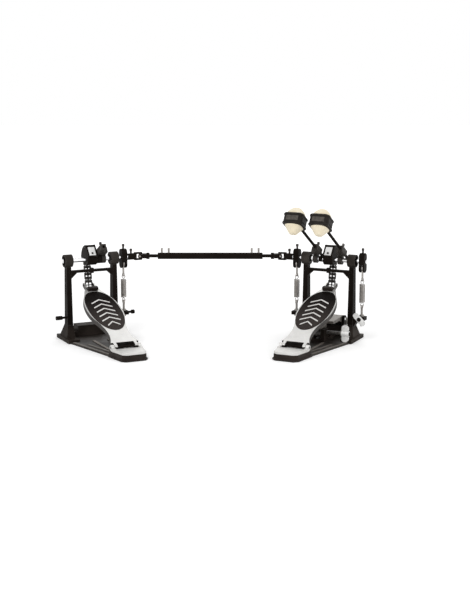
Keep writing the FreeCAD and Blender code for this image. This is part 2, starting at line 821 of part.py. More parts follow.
def rocker(label, pedal, way):
    centre = f"{way} * {ROCKER}"
    across = side(way, ROCKER_IN, ROCKER_OUT)
    ends = [rod("x", "rocker_round", across, ("0", level)) for level in ("rocker_rise", "-rocker_arm")]
    waist = block(across, ("-rocker_round", "rocker_round"), ("-rocker_arm", "rocker_rise"))
    wide = side(way, f"{ROCKER_IN} - cut_over", f"{ROCKER_OUT} + cut_over")
    bore = rod("x", "shaft_radius + seat_gap", wide)
    slot = block((f"{centre} - rocker_slot / 2", f"{centre} + rocker_slot / 2"),
                 ("-rocker_round - cut_over", "rocker_round + cut_over"),
                 ("-rocker_arm - rocker_round - cut_over", "-rocker_slot_top"))
    pin = rod("x", "rocker_pin", across, ("0", "-rocker_arm"))
    node(label, axle_frame(pedal), join(cut(join(waist, *ends), bore, slot), pin))


def key_bolt(placement, long):
    """Square headed bolt: the tip at the origin, the head up."""
    stem = rod("z", "key_radius", ("0", long))
    head = block(("-key_head_half", "key_head_half"), ("-key_head_half", "key_head_half"),
                 (long, f"{long} + key_head_high"))
    return placed(placement, join(stem, head))


def holder(label, pedal, hub, grip):
    """Beater holder: a hub on the axle, an arm and the clamp block with the rod's bore."""
    arm_top = "rod_offset + holder_block_half"
    middle = f"(({grip[0]}) + ({grip[1]})) / 2"
    solids = [rod("x", "holder_hub_radius", hub)]
    arm = ("rod_offset - holder_arm_half", arm_top)
    clamp = ("rod_offset - holder_block_half", arm_top)
    solids.append(block(hub, arm, ("0", "holder_arm_top")))
    solids.append(block(grip, clamp, ("holder_block_low", "holder_top")))
    over = (f"{hub[0]} - cut_over", f"{hub[1]} + cut_over")
    bore = rod("x", "shaft_radius + seat_gap", over)
    socket = rod("z", "rod_radius + rod_gap", ("holder_block_low - cut_over", "holder_top + cut_over"),
                 (middle, "rod_offset"))
    level = "(holder_block_low + holder_top) / 2"
    tap = rod("y", "key_radius + seat_gap", ("rod_offset", f"{arm_top} + cut_over"), (middle, level))
    node(label, beater_frame(pedal), cut(join(*solids), bore, socket, tap))


def holder_bolt(grip):
    """Key bolt that clamps the beater's rod in its holder."""
    middle = size(f"(({grip[0]}) + ({grip[1]})) / 2")
    level = size("(holder_block_low + holder_top) / 2")
    tip = size("rod_offset + rod_radius + rod_gap")
    place = tilt(size("beater_lean")) * move(middle, tip, level) * tilt(-90)
    return key_bolt(place, "holder_block_half - rod_radius - rod_gap + key_stand")


def rocker_bolt(way):
    """Key bolt on top of a rocker."""
    place = move(way * size(ROCKER), 0, size("rocker_rise + rocker_round"))
    return key_bolt(place, "key_stand")


def hub_bolt(way):
    """Key bolt on top of a joint's hub."""
    middle = size(f"(hub_root + {SHAFT_TIP}) / 2")
    return key_bolt(move(way * middle, 0, size("hub_radius")), "key_stand")


def rounded_square(grow, span, centre):
    """A stretch of the beater's head: four flats with round corners, grown all round."""
    half = f"(head_flat_half + {grow})"
    across, up = [(f"{level} - {half}", f"{level} + {half}") for level in centre]
    return common(rod("y", f"head_radius + {grow}", span, centre), block(across, span, up))


def beater(name, pedal, middle):
    at = (middle, "rod_offset")
    top = "head_reach - head_radius + rod_seat"
    node(f"{name}_beater_rod", beater_frame(pedal), rod("z", "rod_radius", ("-rod_tail", top), at))
    low, high = "rod_offset - head_half", "rod_offset + head_half"
    centre = (middle, "head_reach")
    drum = rounded_square("0", (low, high), centre)
    rims = [rounded_square("head_rim", span, centre)
            for span in ((low, f"{low} + head_rim_long"), (f"{high} - head_rim_long", high))]
    socket = rod("z", "rod_radius + seat_gap", ("0", top), at)
    node(f"{name}_beater_head", beater_frame(pedal), cut(join(drum, *rims), socket))
    felts = []
    for outward in (-1, 1):
        near = f"rod_offset + {outward} * head_half"
        far = f"rod_offset + {outward} * (head_half + felt_long)"
        tip = f"rod_offset + {outward} * (head_half + felt_long + felt_crown)"
        radii = ("felt_root_radius", "felt_tip_radius")
        crown = ("felt_tip_radius", "felt_tip_radius / 2")
        if outward > 0:
            felts.append(join(cone("y", radii, (near, far), centre), cone("y", crown, (far, tip), centre)))
        else:
            radii, crown = radii[::-1], crown[::-1]
            felts.append(join(cone("y", radii, (far, near), centre), cone("y", crown, (tip, far), centre)))
    node(f"{name}_beater_felt", beater_frame(pedal), *felts)


# Chain
def link_bar(low, high, radius):
    """A round ended link plate from one pin to the next, along Z."""
    ends = [rod("x", radius, (low, high), ("0", level)) for level in ("0", "chain_pitch")]
    return join(block((low, high), (f"-{radius}", radius), ("0", "chain_pitch")), *ends)


def outer_link(pin_levels):
    """Three plates on their pins."""
    edge = f"({CHAIN_ROOM} - free_gap)"
    solids = [link_bar("-link_plate_thick / 2", "link_plate_thick / 2", "link_plate_half")]
    for way in (-1, 1):
        solids.append(link_bar(*side(way, f"{edge} - link_plate_thick", edge), "link_plate_half"))
    for level in pin_levels:
        solids.append(rod("x", "chain_pin", (f"-{edge}", edge), ("0", level)))
    return join(*solids)


def inner_link(way):
    """One strand's two plates on two bushes."""
    low, high = "strand_off - strand_half", "strand_off + strand_half"
    solids = [link_bar(*side(way, low, f"{low} + link_plate_thick"), "link_plate_half")]
    solids.append(link_bar(*side(way, f"{high} - link_plate_thick", high), "link_plate_half"))
    holes = []
    for level in ("0", "chain_pitch"):
        solids.append(rod("x", "roller_radius", side(way, low, high), ("0", level)))
        holes.append(rod("x", "chain_pin + run_gap", side(way, f"{low} - cut_over", f"{high} + cut_over"),
                         ("0", level)))
    return cut(join(*solids), *holes)


def chain(pedal):
    """Links laid from pin to pin: the hanging run, open at its top pin, and the run that lies on the cam."""
    pins = chain_pins()
    top = int(size("hang_links")) + int(size("free_wrap_links"))
    runs = {"chain": [], "cam_chain": []}
    for index, (start, end) in enumerate(zip(pins, pins[1:])):
        along = end - start
        turn = FreeCAD.Rotation(X_AXIS, math.degrees(math.atan2(-along.y, along.z)))
        run = "chain" if index < top else "cam_chain"
        kind = "open" if index == top - 1 else ("outer", "inner")[index % 2]
        for prototype in LINKS[kind]:
            shape = prototype.Shape.copy()
            shape.Placement = FreeCAD.Placement(start, turn)
            runs[run].append(shape_feature(shape))
    edge = f"{CHAIN_ROOM} - free_gap"
    first, last = [(str(pin.y), str(pin.z)) for pin in (pins[0], pins[-1])]
    for way in (-1, 1):
        reach = side(way, edge, "fork_inner + fork_thick + link_plate_thick")
        runs["chain"].append(rod("x", "fork_pin", reach, first))
    runs["cam_chain"].append(rod("x", "chain_pin", (f"-{CAM_SIDE}", CAM_SIDE), last))
    for run, items in runs.items():
        node(f"{pedal}_{run}", axle_frame(pedal), *items)


# Springs
def biarc(start, heading, end, arrival):
    """Two arcs that leave and arrive along given directions."""
    span = end - start
    turn = heading + arrival
    square = 2 * (1 - heading.dot(arrival))
    linear = 2 * span.dot(turn)
    reach = (math.sqrt(linear ** 2 + 4 * square * span.dot(span)) - linear) / (2 * square)
    middle = (start + heading * reach + end - arrival * reach) / 2
    first = Part.Arc(start, arc_middle(start, heading, middle), middle)
    second = Part.Arc(middle, arc_middle(end, -arrival, middle), end)
    return [first.toShape(), second.toShape()]


def arc_middle(start, heading, end):
    """Middle point of the arc that leaves start along heading and reaches end."""
    chord = end - start
    across = chord - heading * chord.dot(heading)
    across.normalize()
    radius = chord.dot(chord) / (2 * chord.dot(across))
    centre = start + across * radius
    half = (start + end) / 2 - centre
    if chord.dot(heading) < 0:
        half = -half
    half.normalize()
    return centre + half * radius


def hook_stations():
    """Points and headings of a spring's end loop, from the coil's last turn up over the loop."""
    round_radius = size("coil_radius")
    loop = size("hook_radius")
    rise = size("hook_rise")
    pitch = size("coil_pitch")
    return [
        (V(0, round_radius, pitch / 4), V(-1, 0, pitch / (2 * math.pi * round_radius))),
        (V(-loop, 0, rise - loop), V(0, 0, 1)),
        (V(0, 0, rise), V(1, 0, 0)),
        (V(loop, 0, rise - loop), V(0, 0, -1)),
        (V(0, 0, rise - 2 * loop), V(-1, 0, 0)),
    ]


def spring_shape():
    """One wire wound between two end loops, upright, its lower loop's crown at the origin."""
    wire = size("coil_wire")
    radius = size("coil_radius")
    pitch = size("coil_pitch")
    rise = size("hook_rise")
    turns = int(size("coil_turns"))
    stations = [(V(point.x, -point.y, rise - point.z), V(-head.x, head.y, head.z))
                for point, head in reversed(hook_stations())]
    for quarter in range(4 * turns + 1):
        angle = quarter * math.pi / 2
        place = V(radius * math.cos(angle), radius * math.sin(angle), rise + pitch * quarter / 4)
        heading = V(-radius * math.sin(angle), radius * math.cos(angle), pitch / (2 * math.pi))
        stations.append((place, heading))
    top = V(0, 0, rise + pitch * turns)
    stations += [(top + point, head) for point, head in hook_stations()]
    for _, heading in stations:
        heading.normalize()
    edges = []
    for (start, heading), (end, arrival) in zip(stations, stations[1:]):
        edges += biarc(start, heading, end, arrival)
    path = Part.Wire(edges)
    sweep = Part.BRepOffsetAPI.MakePipeShell(path)
    sweep.add(Part.Wire([Part.Circle(stations[0][0], stations[0][1], wire).toShape()]))
    sweep.build()
    sweep.makeSolid()
    print("spring least gap to itself", round(self_gap(edges, wire), 3), "mm")
    return sweep.shape()


def self_gap(edges, wire):
    """Least gap between stretches of the wire, measured on points along its middle line."""
    points = []
    for edge in edges:
        points += edge.discretize(Number=7)[:-1]
    lengths = [0]
    for start, end in zip(points, points[1:]):
        lengths.append(lengths[-1] + (end - start).Length)
    apart = 2 * math.pi * wire
    least = math.inf
    for index, point in enumerate(points):
        for other in range(index + 1, len(points)):
            if lengths[other] - lengths[index] > apart:
                least = min(least, (points[other] - point).Length)
    return least - 2 * wire


def spring_set(name, pedal, way, shape):
    """Spring, the link that hangs it on the rocker's pin, and its place below the axle."""
    centre = f"{way} * {ROCKER}"
    across = (f"{centre} - link_thick / 2", f"{centre} + link_thick / 2")
    eye_radius = "rocker_pin + link_play"
    foot_level = "-(rocker_arm + link_len)"
    hook_eye = "link_hook_radius + link_hook_wall"
    bar = block(across, (f"-({hook_eye}) / 2", f"({hook_eye}) / 2"), (foot_level, "-rocker_arm"))
    ends = [rod("x", f"{eye_radius} + link_wall", across, ("0", "-rocker_arm")),
            rod("x", hook_eye, across, ("0", foot_level))]
    over = (f"{centre} - link_thick", f"{centre} + link_thick")
    holes = [rod("x", eye_radius, over, ("0", "-rocker_arm")),
             rod("x", "link_hook_radius", over, ("0", foot_level))]
    node(f"{name}_spring_link", axle_frame(pedal), cut(join(bar, *ends), *holes))
    coil = shape_feature(shape.copy())
    node(f"{name}_spring", axle_frame(pedal) * move(way * size(ROCKER), 0, -size(SPRING_FOOT)), coil)


def tension_rods(pedal):
    """Eye bolts under the springs, each with two nuts on its lug."""
    pieces = []
    centre_level = f"(shaft_height - {EYE_DROP})"
    for way in spring_ways(pedal):
        middle = f"{way} * {ROCKER}"
        across = (f"{middle} - eye_thick / 2", f"{middle} + eye_thick / 2")
        eye = rod("x", "eye_hole + eye_wall", across, ("0", centre_level))
        upper = f"{centre_level} - eye_hole - eye_wall / 2"
        stem = rod("z", "tension_radius", ("shaft_height - tension_low", upper), (middle, "0"))
        hole = rod("x", "eye_hole", (f"{middle} - eye_thick", f"{middle} + eye_thick"), ("0", centre_level))
        pieces.append(cut(join(eye, stem), hole))
        for low, high in ((LUG_HIGH, f"{LUG_HIGH} + nut_high"), (f"{LUG_LOW} - nut_high", LUG_LOW)):
            over = (f"{low} - cut_over", f"{high} + cut_over")
            bore = rod("z", "tension_radius + seat_gap", over, (middle, "0"))
            pieces.append(cut(rod("z", "nut_radius", (low, high), (middle, "0")), bore))
    node(f"{pedal}_tension_rods", pedal_frame(pedal), *pieces)


def lug_wing():
    """Wing bolt on the front of the right spring's lug, facing the player."""
    front = "-lug_half - lug_wing_off"
    flat = (f"{front} - wing_thick", front)
    reach = "lug_wing_half - lug_wing_round"
    ends = [rod("y", "lug_wing_round", flat, ("0", level)) for level in (f"-({reach})", reach)]
    blade = block(("-lug_wing_round", "lug_wing_round"), flat, (f"-({reach})", reach))
    stem = rod("y", "knob_stem", (front, "-lug_half"))
    wing = join(blade, stem, *ends)
    turn = FreeCAD.Rotation(Y_AXIS, -size("lug_wing_tilt"))
    return placed(FreeCAD.Placement(V(size(ROCKER), 0, size(LUG_MIDDLE)), turn), wing)


def fasteners(pedal):
    """Heel hinge pin, base screws and the pedal's own knobs, pivot pin or wing bolt."""
    pieces = [rod("x", "hinge_pin", ("-lug_outer", "lug_outer"), ("-hinge_back", "hinge_high"))]
    deep = "(member_front + member_back) / 2"
    for way in (-1, 1):
        middle = f"{way} * (member_half + foot_inner) / 2"
        pieces.append(rod("z", "screw_radius", ("member_low", "member_low + screw_high"), (middle, deep)))
    if pedal == "main":
        reach = "jaw_half + free_gap + jaw_ear"
        pieces.append(rod("x", "jaw_pin", (f"-({reach})", reach), ("jaw_pivot_back", "jaw_pivot_high")))
        pieces.append(lug_wing())
    else:
        for way, root, face, long in ((-1, BEARING, f"{BEARING} + post_foot_wide / 2", "knob_long"),
                                      (1, f"{ROCKER} + lug_reach", f"{ROCKER} + lug_reach", "knob_long / 2")):
            tip = f"{face} + knob_stem_long"
            stem = rod("x", "knob_stem", side(way, root, tip), ("0", LUG_MIDDLE))
            knob = rod("x", "knob_radius", side(way, tip, f"{tip} + {long}"), ("0", LUG_MIDDLE))
            pieces.append(join(stem, knob))
    node(f"{pedal}_fasteners", pedal_frame(pedal), *pieces)


# Hoop clamp of the main pedal
def hoop_clamp():
    place = pedal_frame("main")
    low = "jaw_tail_low"
    top = f"{low} + jaw_thick"
    profile = [
        ("-jaw_tail", low),
        ("-jaw_tail", top),
        ("jaw_pivot_back", "jaw_pivot_high + jaw_ear_half"),
        ("jaw_nose", "jaw_nose_low + jaw_nose_thick"),
        ("jaw_nose", "jaw_nose_low"),
        ("jaw_nose - jaw_ear_half", "jaw_nose_low"),
        ("jaw_pivot_back + jaw_nose_thick * 2", "jaw_belly"),
        ("jaw_pivot_back - jaw_ear_half", "jaw_belly"),
        ("jaw_pivot_back - jaw_nose_thick * 2", low),
    ]
    lever = plate("YZ_Plane", ("-jaw_half", "jaw_half"), profile)
    reach = ("-clamp_screw_front - lobe_radius / 2", "jaw_thick - jaw_tail")
    tongue = block(("-lobe_half", "lobe_half"), reach,
                   ("clamp_screw_high - lobe_throw + lobe_radius + free_gap", f"{low} + jaw_thick / 2"))
    bore = rod("x", "jaw_pin + run_gap", ("-jaw_half - cut_over", "jaw_half + cut_over"),
               ("jaw_pivot_back", "jaw_pivot_high"))
    node("hoop_jaw", place, cut(join(lever, tongue), bore))
    seat = block(("-seat_half", "seat_half"), ("seat_front", "seat_back"),
                 ("base_thick", "base_thick + seat_thick"))
    node("hoop_seat", place, seat)
    at = ("-clamp_screw_front", "clamp_screw_high")
    stem = rod("x", "clamp_screw_radius", ("-cheek_half", "wing_root"), at)
    lobe = rod("x", "lobe_radius", ("-lobe_half", "lobe_half"),
               ("-clamp_screw_front", "clamp_screw_high - lobe_throw"))
    hub = rod("x", "wing_hub_radius", ("wing_root", "wing_root + wing_hub_len"), at)
    middle = "wing_root + wing_hub_len / 2"
    flat = ("-clamp_screw_front - wing_thick / 2", "wing_thick / 2 - clamp_screw_front")
    reach = "(wing_half - wing_round)"
    blade = block((f"{middle} - wing_hub_radius", f"{middle} + wing_hub_radius"), flat,
                  (f"clamp_screw_high - {reach}", f"clamp_screw_high + {reach}"))
    ends = [rod("y", "wing_round", flat, (middle, f"clamp_screw_high + {way} * {reach}")) for way in (-1, 1)]
    node("hoop_screw", place, join(stem, lobe, hub, blade, *ends))


# Universal joints and the drive shaft
def hub_yoke(label, pedal, way):
    """Hub on the axle's end with two upright ears round the cross."""
    base = side(way, SHAFT_TIP, "joint_off - yoke_base")
    ears = ("-yoke_ear_half", "yoke_ear_half")
    hub = rod("x", "hub_radius", side(way, "hub_root", SHAFT_TIP))
    solids = [hub, block(base, ears, ("-yoke_ear_out", "yoke_ear_out"))]
    holes = [rod("x", "shaft_radius + seat_gap", side(way, "hub_root - cut_over", SHAFT_TIP))]
    for up in (-1, 1):
        tall = side(up, "yoke_ear_in", "yoke_ear_out")
        solids.append(block(side(way, SHAFT_TIP, "joint_off"), ears, tall))
        solids.append(rod("z", "yoke_ear_half", tall, (f"{way} * joint_off", "0")))
        through = side(up, "yoke_ear_in - cut_over", "yoke_ear_out + cut_over")
        holes.append(rod("z", "cross_pin + run_gap", through, (f"{way} * joint_off", "0")))
    node(label, axle_frame(pedal), cut(join(*solids), *holes))


def cross(label, pedal):
    """Spider of a universal joint: an upright pin and a level one."""
    place = FreeCAD.Placement(joint_centre(pedal), FreeCAD.Rotation())
    cube = block(*[("-cross_half", "cross_half")] * 3)
    pins = [rod(axis, "cross_pin", ("-yoke_ear_out", "yoke_ear_out")) for axis in "yz"]
    node(label, place, join(cube, *pins))


def link_rod(label, pedal, way, insert):
    """Hexagonal rod with its yoke: level ears round the cross, the bar running into the tube."""
    place = FreeCAD.Placement(joint_centre(pedal), FreeCAD.Rotation())
    ears = ("-yoke_ear_half", "yoke_ear_half")
    base_end = "yoke_base + yoke_base_thick"
    solids = [block(side(way, "yoke_base", base_end), ("-yoke_ear_out", "yoke_ear_out"), ears)]
    solids.append(rod("x", "hub_radius", side(way, base_end, f"{base_end} + link_hub_len")))
    solids.append(hex_bar("hex_flats", side(way, base_end, f"tube_inset + {insert}"), ("0", "0")))
    holes = []
    for deep in (-1, 1):
        reach = side(deep, "yoke_ear_in", "yoke_ear_out")
        solids.append(block(side(way, "0", base_end), reach, ears))
        solids.append(rod("y", "yoke_ear_half", reach))
        through = side(deep, "yoke_ear_in - cut_over", "yoke_ear_out + cut_over")
        holes.append(rod("y", "cross_pin + cross_play", through))
    node(label, place, cut(join(*solids), *holes))


def drive_tube():
    """Tube between the two hexagonal rods, with the four bolts that clamp them."""
    left, right = joint_centre("slave"), joint_centre("main")
    place = FreeCAD.Placement(right, FreeCAD.Rotation())
    long = str(right.x - left.x)
    span = (f"tube_inset - {long}", "-tube_inset")
    tube = rod("x", "tube_radius", span)
    holes = [rod("x", "tube_bore", (f"{span[0]} - cut_over", f"{span[1]} + cut_over"))]
    bolts = []
    for start, way in ((span[0], 1), (span[1], -1)):
        for inset in ("bolt_inset", "bolt_inset + bolt_step"):
            middle = f"{start} + {way} * ({inset})"
            holes.append(rod("z", "key_radius + seat_gap", ("0", "tube_radius + cut_over"), (middle, "0")))
            bolt = move(size(middle), 0, size("hex_flats / 2 + free_gap"))
            bolts.append(key_bolt(bolt, "tube_radius - hex_flats / 2 - free_gap + key_stand"))
    node("linkage_tube", place, cut(tube, *holes))
    node("linkage_bolts", place, *bolts)


def pedal_body(pedal):
    """What the two pedals have alike."""
    base_plate(pedal)
    frame(pedal)
    bearings(pedal)
    heel(pedal)
    tension_rods(pedal)
    fasteners(pedal)
    footboard(pedal)
    cam(pedal)
    chain(pedal)


LINKS = {
    "outer": [outer_link(("0", "chain_pitch"))],
    "inner": [inner_link(-1), inner_link(1)],
    "open": [outer_link(("0",))],
}
SPRING = spring_shape()
doc.recompute()

for pedal in ("main", "slave"):
    pedal_body(pedal)
hoop_clamp()

# Main axle with its beater, on the right of the main pedal
MAIN_HUB = ("main_hub_off", "main_hub_off + holder_hub_len")
MAIN_GRIP = (MAIN_HUB[1], f"{MAIN_HUB[1]} + holder_block_wide")
axle("main_shaft", "main", ("-spigot_root", f"{ROCKER_OUT} + shaft_end"),
     spigot=("-spigot_root - spigot_len", "-spigot_root"))
rocker("main_rocker", "main", 1)
holder("main_beater_holder", "main", MAIN_HUB, MAIN_GRIP)
node("main_key_bolts", axle_frame("main"), rocker_bolt(1), holder_bolt(MAIN_GRIP))
beater("main", "main", "main_hub_off + holder_hub_len + holder_block_wide / 2")
spring_set("main", "main", 1, SPRING)

# Second axle, driven by the slave pedal, on the left of the main pedal
SECOND_HUB = ("-second_hub_off", "holder_hub_len - second_hub_off")
SECOND_GRIP = (SECOND_HUB[1], f"{SECOND_HUB[1]} + holder_block_wide")
axle("second_shaft", "main", (f"-({SHAFT_TIP})", "-spigot_root - free_gap"),
     socket=("-spigot_root - spigot_len - cut_over", "-spigot_root"))
rocker("second_rocker", "main", -1)
holder("second_beater_holder", "main", SECOND_HUB, SECOND_GRIP)
node("second_key_bolts", axle_frame("main"), rocker_bolt(-1), holder_bolt(SECOND_GRIP), hub_bolt(-1))
hub_yoke("second_yoke", "main", -1)
beater("second", "main", "holder_hub_len - second_hub_off + holder_block_wide / 2")
spring_set("second", "main", -1, SPRING)

# Slave axle, with an empty beater holder
SLAVE_GRIP = ("slave_block_off", "slave_block_off + holder_block_wide")
SLAVE_HUB = (SLAVE_GRIP[1], f"{SLAVE_GRIP[1]} + holder_hub_len")
axle("slave_shaft", "slave", (f"-({BEARING} + housing_len / 2 + shaft_end)", SHAFT_TIP))
rocker("slave_rocker", "slave", 1)
holder("slave_beater_holder", "slave", SLAVE_HUB, SLAVE_GRIP)
node("slave_key_bolts", axle_frame("slave"), rocker_bolt(1), holder_bolt(SLAVE_GRIP), hub_bolt(1))
hub_yoke("slave_yoke", "slave", 1)
spring_set("slave", "slave", 1, SPRING)

# Drive shaft
cross("second_cross", "main")
cross("slave_cross", "slave")
link_rod("linkage_left_rod", "slave", 1, "left_insert")
link_rod("linkage_right_rod", "main", -1, "right_insert")
drive_tube()

doc.recompute()
for item in doc.Objects:
    if "Invalid" in item.State or "Error" in item.State:
        raise RuntimeError(f"{item.Name} ({item.Label}) failed: {item.State}")
for item in nodes:
    if item.Shape.isNull() or not item.Shape.isValid():
        raise RuntimeError(f"{item.Label} has no valid shape")

os.makedirs("parts", exist_ok=True)
for item in nodes:
    item.Shape.exportStep(f"parts/{item.Label}.step")
print(len(nodes), "sub-parts")
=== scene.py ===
import json
import math
import random

import bmesh
import bpy
from mathutils import Matrix, Vector


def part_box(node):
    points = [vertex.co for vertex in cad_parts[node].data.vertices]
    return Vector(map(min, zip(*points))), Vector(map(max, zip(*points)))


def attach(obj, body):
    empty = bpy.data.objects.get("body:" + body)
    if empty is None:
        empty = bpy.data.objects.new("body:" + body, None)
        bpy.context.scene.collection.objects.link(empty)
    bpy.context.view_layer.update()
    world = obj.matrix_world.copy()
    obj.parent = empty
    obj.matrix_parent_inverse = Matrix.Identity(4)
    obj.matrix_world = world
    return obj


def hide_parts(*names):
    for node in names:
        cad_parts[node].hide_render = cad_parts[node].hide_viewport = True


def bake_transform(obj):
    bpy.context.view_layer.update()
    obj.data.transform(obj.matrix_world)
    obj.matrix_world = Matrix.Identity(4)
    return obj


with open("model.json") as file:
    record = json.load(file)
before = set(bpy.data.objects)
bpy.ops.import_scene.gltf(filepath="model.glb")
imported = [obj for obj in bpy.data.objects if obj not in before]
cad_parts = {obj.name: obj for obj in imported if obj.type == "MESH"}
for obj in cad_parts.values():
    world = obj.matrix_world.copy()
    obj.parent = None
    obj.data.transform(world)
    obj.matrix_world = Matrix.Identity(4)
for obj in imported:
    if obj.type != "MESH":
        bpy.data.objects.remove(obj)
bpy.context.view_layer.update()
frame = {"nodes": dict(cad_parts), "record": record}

# Layout of the pedals, as in the part's source, in metres
YAW = math.radians(25.4)
PEDAL_GAP = 0.528
AXLE_HIGH = 0.176
ROCKER_OFF = 0.077
HINGE_BACK = 0.204
HINGE_HIGH = 0.0205
BOARD_SLOPE = math.radians(22.403)
BOARD_TOP = 0.006

# Springs: name, pedal and side
SPRINGS = (("main", "main", 1), ("second", "main", -1), ("slave", "slave", 1))
COIL_RADIUS = 0.0057
COIL_WIRE = 0.0008
COIL_PITCH = 0.0021
COIL_TURNS = 20
COIL_STEPS = 24
HOOK_RISE = 0.009
HOOK_RADIUS = 0.0038
COIL_TOP = HOOK_RISE + COIL_PITCH * COIL_TURNS

# Beaters: the lip's points are growth beyond the head's side and depth below its face,
# the collar's and felts' points are radius and place along the axis
BEATER_ACROSS = {"main": 0.0365, "second": -0.0215}
BEATER_LEAN = math.radians(60)
ROD_OFFSET = 0.010
HEAD_REACH = 0.184
HEAD_FLAT = 0.0205
HEAD_CORNER = 0.0254
HEAD_HALF = 0.012
HEAD_ROUNDING = 0.0003
HEAD_LIP = ((-0.0030, 0.0), (0.0005, 0.0), (0.0013, 0.0006), (0.0015, 0.0014), (0.0015, 0.0034),
            (0.0012, 0.0041), (0.0002, 0.0047), (0.0, 0.0053))
PANEL_ACROSS = 0.0136
PANEL_ALONG = 0.0056
PANEL_SUNK = 0.0004
PANEL_PROUD = 0.0009
PANEL_SLANT = 0.0006
PANEL_ROUNDING = 0.0006
COLLAR_SIDE = ((0.0046, -0.0275), (0.0062, -0.0270), (0.0068, -0.0252), (0.0068, -0.0195))
FELT_LONG = 0.0178
FELT_SIDE = ((0.0172, 0.0), (0.0189, 0.0003), (0.0189, 0.0012), (0.0163, 0.0050), (0.0122, 0.0104),
             (0.0090, 0.0148), (0.0076, 0.0165), (0.0058, 0.0174), (0.0034, 0.0177), (0.0014, FELT_LONG))
FELT_FULLER = {"back": 0.0, "front": 0.0030}
FELT_SQUARE = 2.6
FELT_UNEVEN = 0.005
FELT_SEED = 7

# Footboard grips: the crown's points are a share of the face's size and a rise above its lift
GRIP_CENTRE = 0.131
GRIP_LONG = 0.076
GRIP_HALF = 0.0348
GRIP_FACE_LONG = 0.0772
GRIP_FACE_HALF = 0.0364
GRIP_STEPS = 96
GRIP_BOTTOM = -0.0011
GRIP_SEAT = 0.00005
GRIP_RIM = 0.0004
GRIP_LIFT = 0.0006
GRIP_CROWN = ((0.985, 0.0), (0.9, 0.0003), (0.6, 0.0005), (0.3, 0.0006))
TOE_BLUNT = 0.85
BAR_COUNT = 6
BAR_FIRST = -0.048
BAR_PITCH = 0.0175
BAR_DROP = 0.013
BAR_THICK = 0.0040
BAR_HALF = 0.021
BAR_END_MARGIN = 0.007
BAR_TOP_MARGIN = 0.006
BAR_SUNK = 0.0002
BAR_PROUD = 0.0011
BAR_ROUNDING = 0.0004
STOP_LONGEST = 0.04
STOP_ROUNDING = 0.0015

# Base plates: corners at heel and toe as half width and place along; ribs along their slanting sides
PLATE_TOP = 0.004
PLATE_HEEL = (0.035, -0.198)
PLATE_TOE = (0.066, -0.048)
RIBS = {
    "outer": {"inset": 0.0006, "wide": 0.0046, "span": (-0.194, -0.055), "high": 0.0014},
    "inner": {"inset": 0.0150, "wide": 0.0055, "span": (-0.186, -0.088), "high": 0.0016},
}
RIB_ROUNDING = 0.0005

# Cams: ends of the slanting face as shares of the flange's radius; sleeves and caps beside them
CAM_FACE_LOW = (-0.5, 0.25)
CAM_FACE_HIGH = (0.12, 1.02)
CAM_FLANGE = 0.032
CAM_PLATE_LONG = 0.025
CAM_SIDE = 0.0113
RIM_WIDE = 0.0036
RIM_TOP_WIDE = 0.0042
RIM_OVER = 0.0012
RIM_HIGH = 0.0022
RIM_ROUNDING = 0.0007
SLEEVES = {
    "slave": {"start": 0.0115, "stop": 0.0238, "radius": 0.0100},
    "main": {"start": -0.0238, "stop": -0.0156, "radius": 0.0066},
}
SLEEVE_CHAMFER = 0.0006
CAP_SIDE = ((0.0046, 0.0), (0.0046, 0.0010), (0.0040, 0.0014))
SCREW_END = (0.0699, -0.060, 0.025)
LUG_END = (0.077, -0.0194, 0.050)

# Meshes
CREASE = math.radians(38)
FLAT_ANGLE = math.radians(1)
WELD = 1e-6
TURN_Y_TO_X = Matrix.Rotation(math.radians(-90), 4, "Z")

# Materials: colour sockets of a mix node, spans of noise, levels of the part where a tone changes,
# and depths of grain
MIX_FIRST, MIX_SECOND, MIX_RESULT = 6, 7, 2
TONE_SPAN = (0.3, 0.7)
# Span of noise in the painted highlight on the edges of black parts
EDGE_HIGHLIGHT_SPAN = (0.35, 0.75)
EDGE_SPAN = (0.98, 0.8)
# Span of a face's upward normal over which painted shade on the footboard's walls gives way to silver
SHADED_WALL_SPAN = (0.15, 0.5)
FOOT_SPAN = (0.038, 0.020)
# Heights where the painted highlight on the bearing housings begins
HOUSING_HIGHLIGHT_SPAN = (0.160, 0.168)
RIDGE_SPAN = (0.0046, 0.0054)
# Heights over which the painted highlight on the grip pad fades in towards the heel
PAD_HIGHLIGHT_SPAN = (0.094, 0.064)
WING_SPAN = (0.052, 0.054)
# Width of painted edges: a painted highlight on black parts, painted shade on the bright wings
PAINTED_EDGE_WIDTH = 0.0009
# Width of the painted highlight on the beater heads' edges
HEAD_EDGE_HIGHLIGHT_WIDTH = 0.0008
FINE_GRAIN = 0.0001
CAST_GRAIN = 0.0002
COARSE_GRAIN = 0.0003
GRIP_GRAIN = 0.0004
FELT_GRAIN = 0.0006

# Solids of one node that get their own finish, told apart by place and size
HINGE_HIGHEST = 0.022
HINGE_LONG = 0.05
OUTER_KNOB = -0.585
INNER_KNOB = (-0.46, -0.40)
INNER_KNOB_LOWEST = 0.03
WING_TALL = 0.02
CAM_BODY_TALL = 0.03
CAM_PLATE_WIDE = 0.012

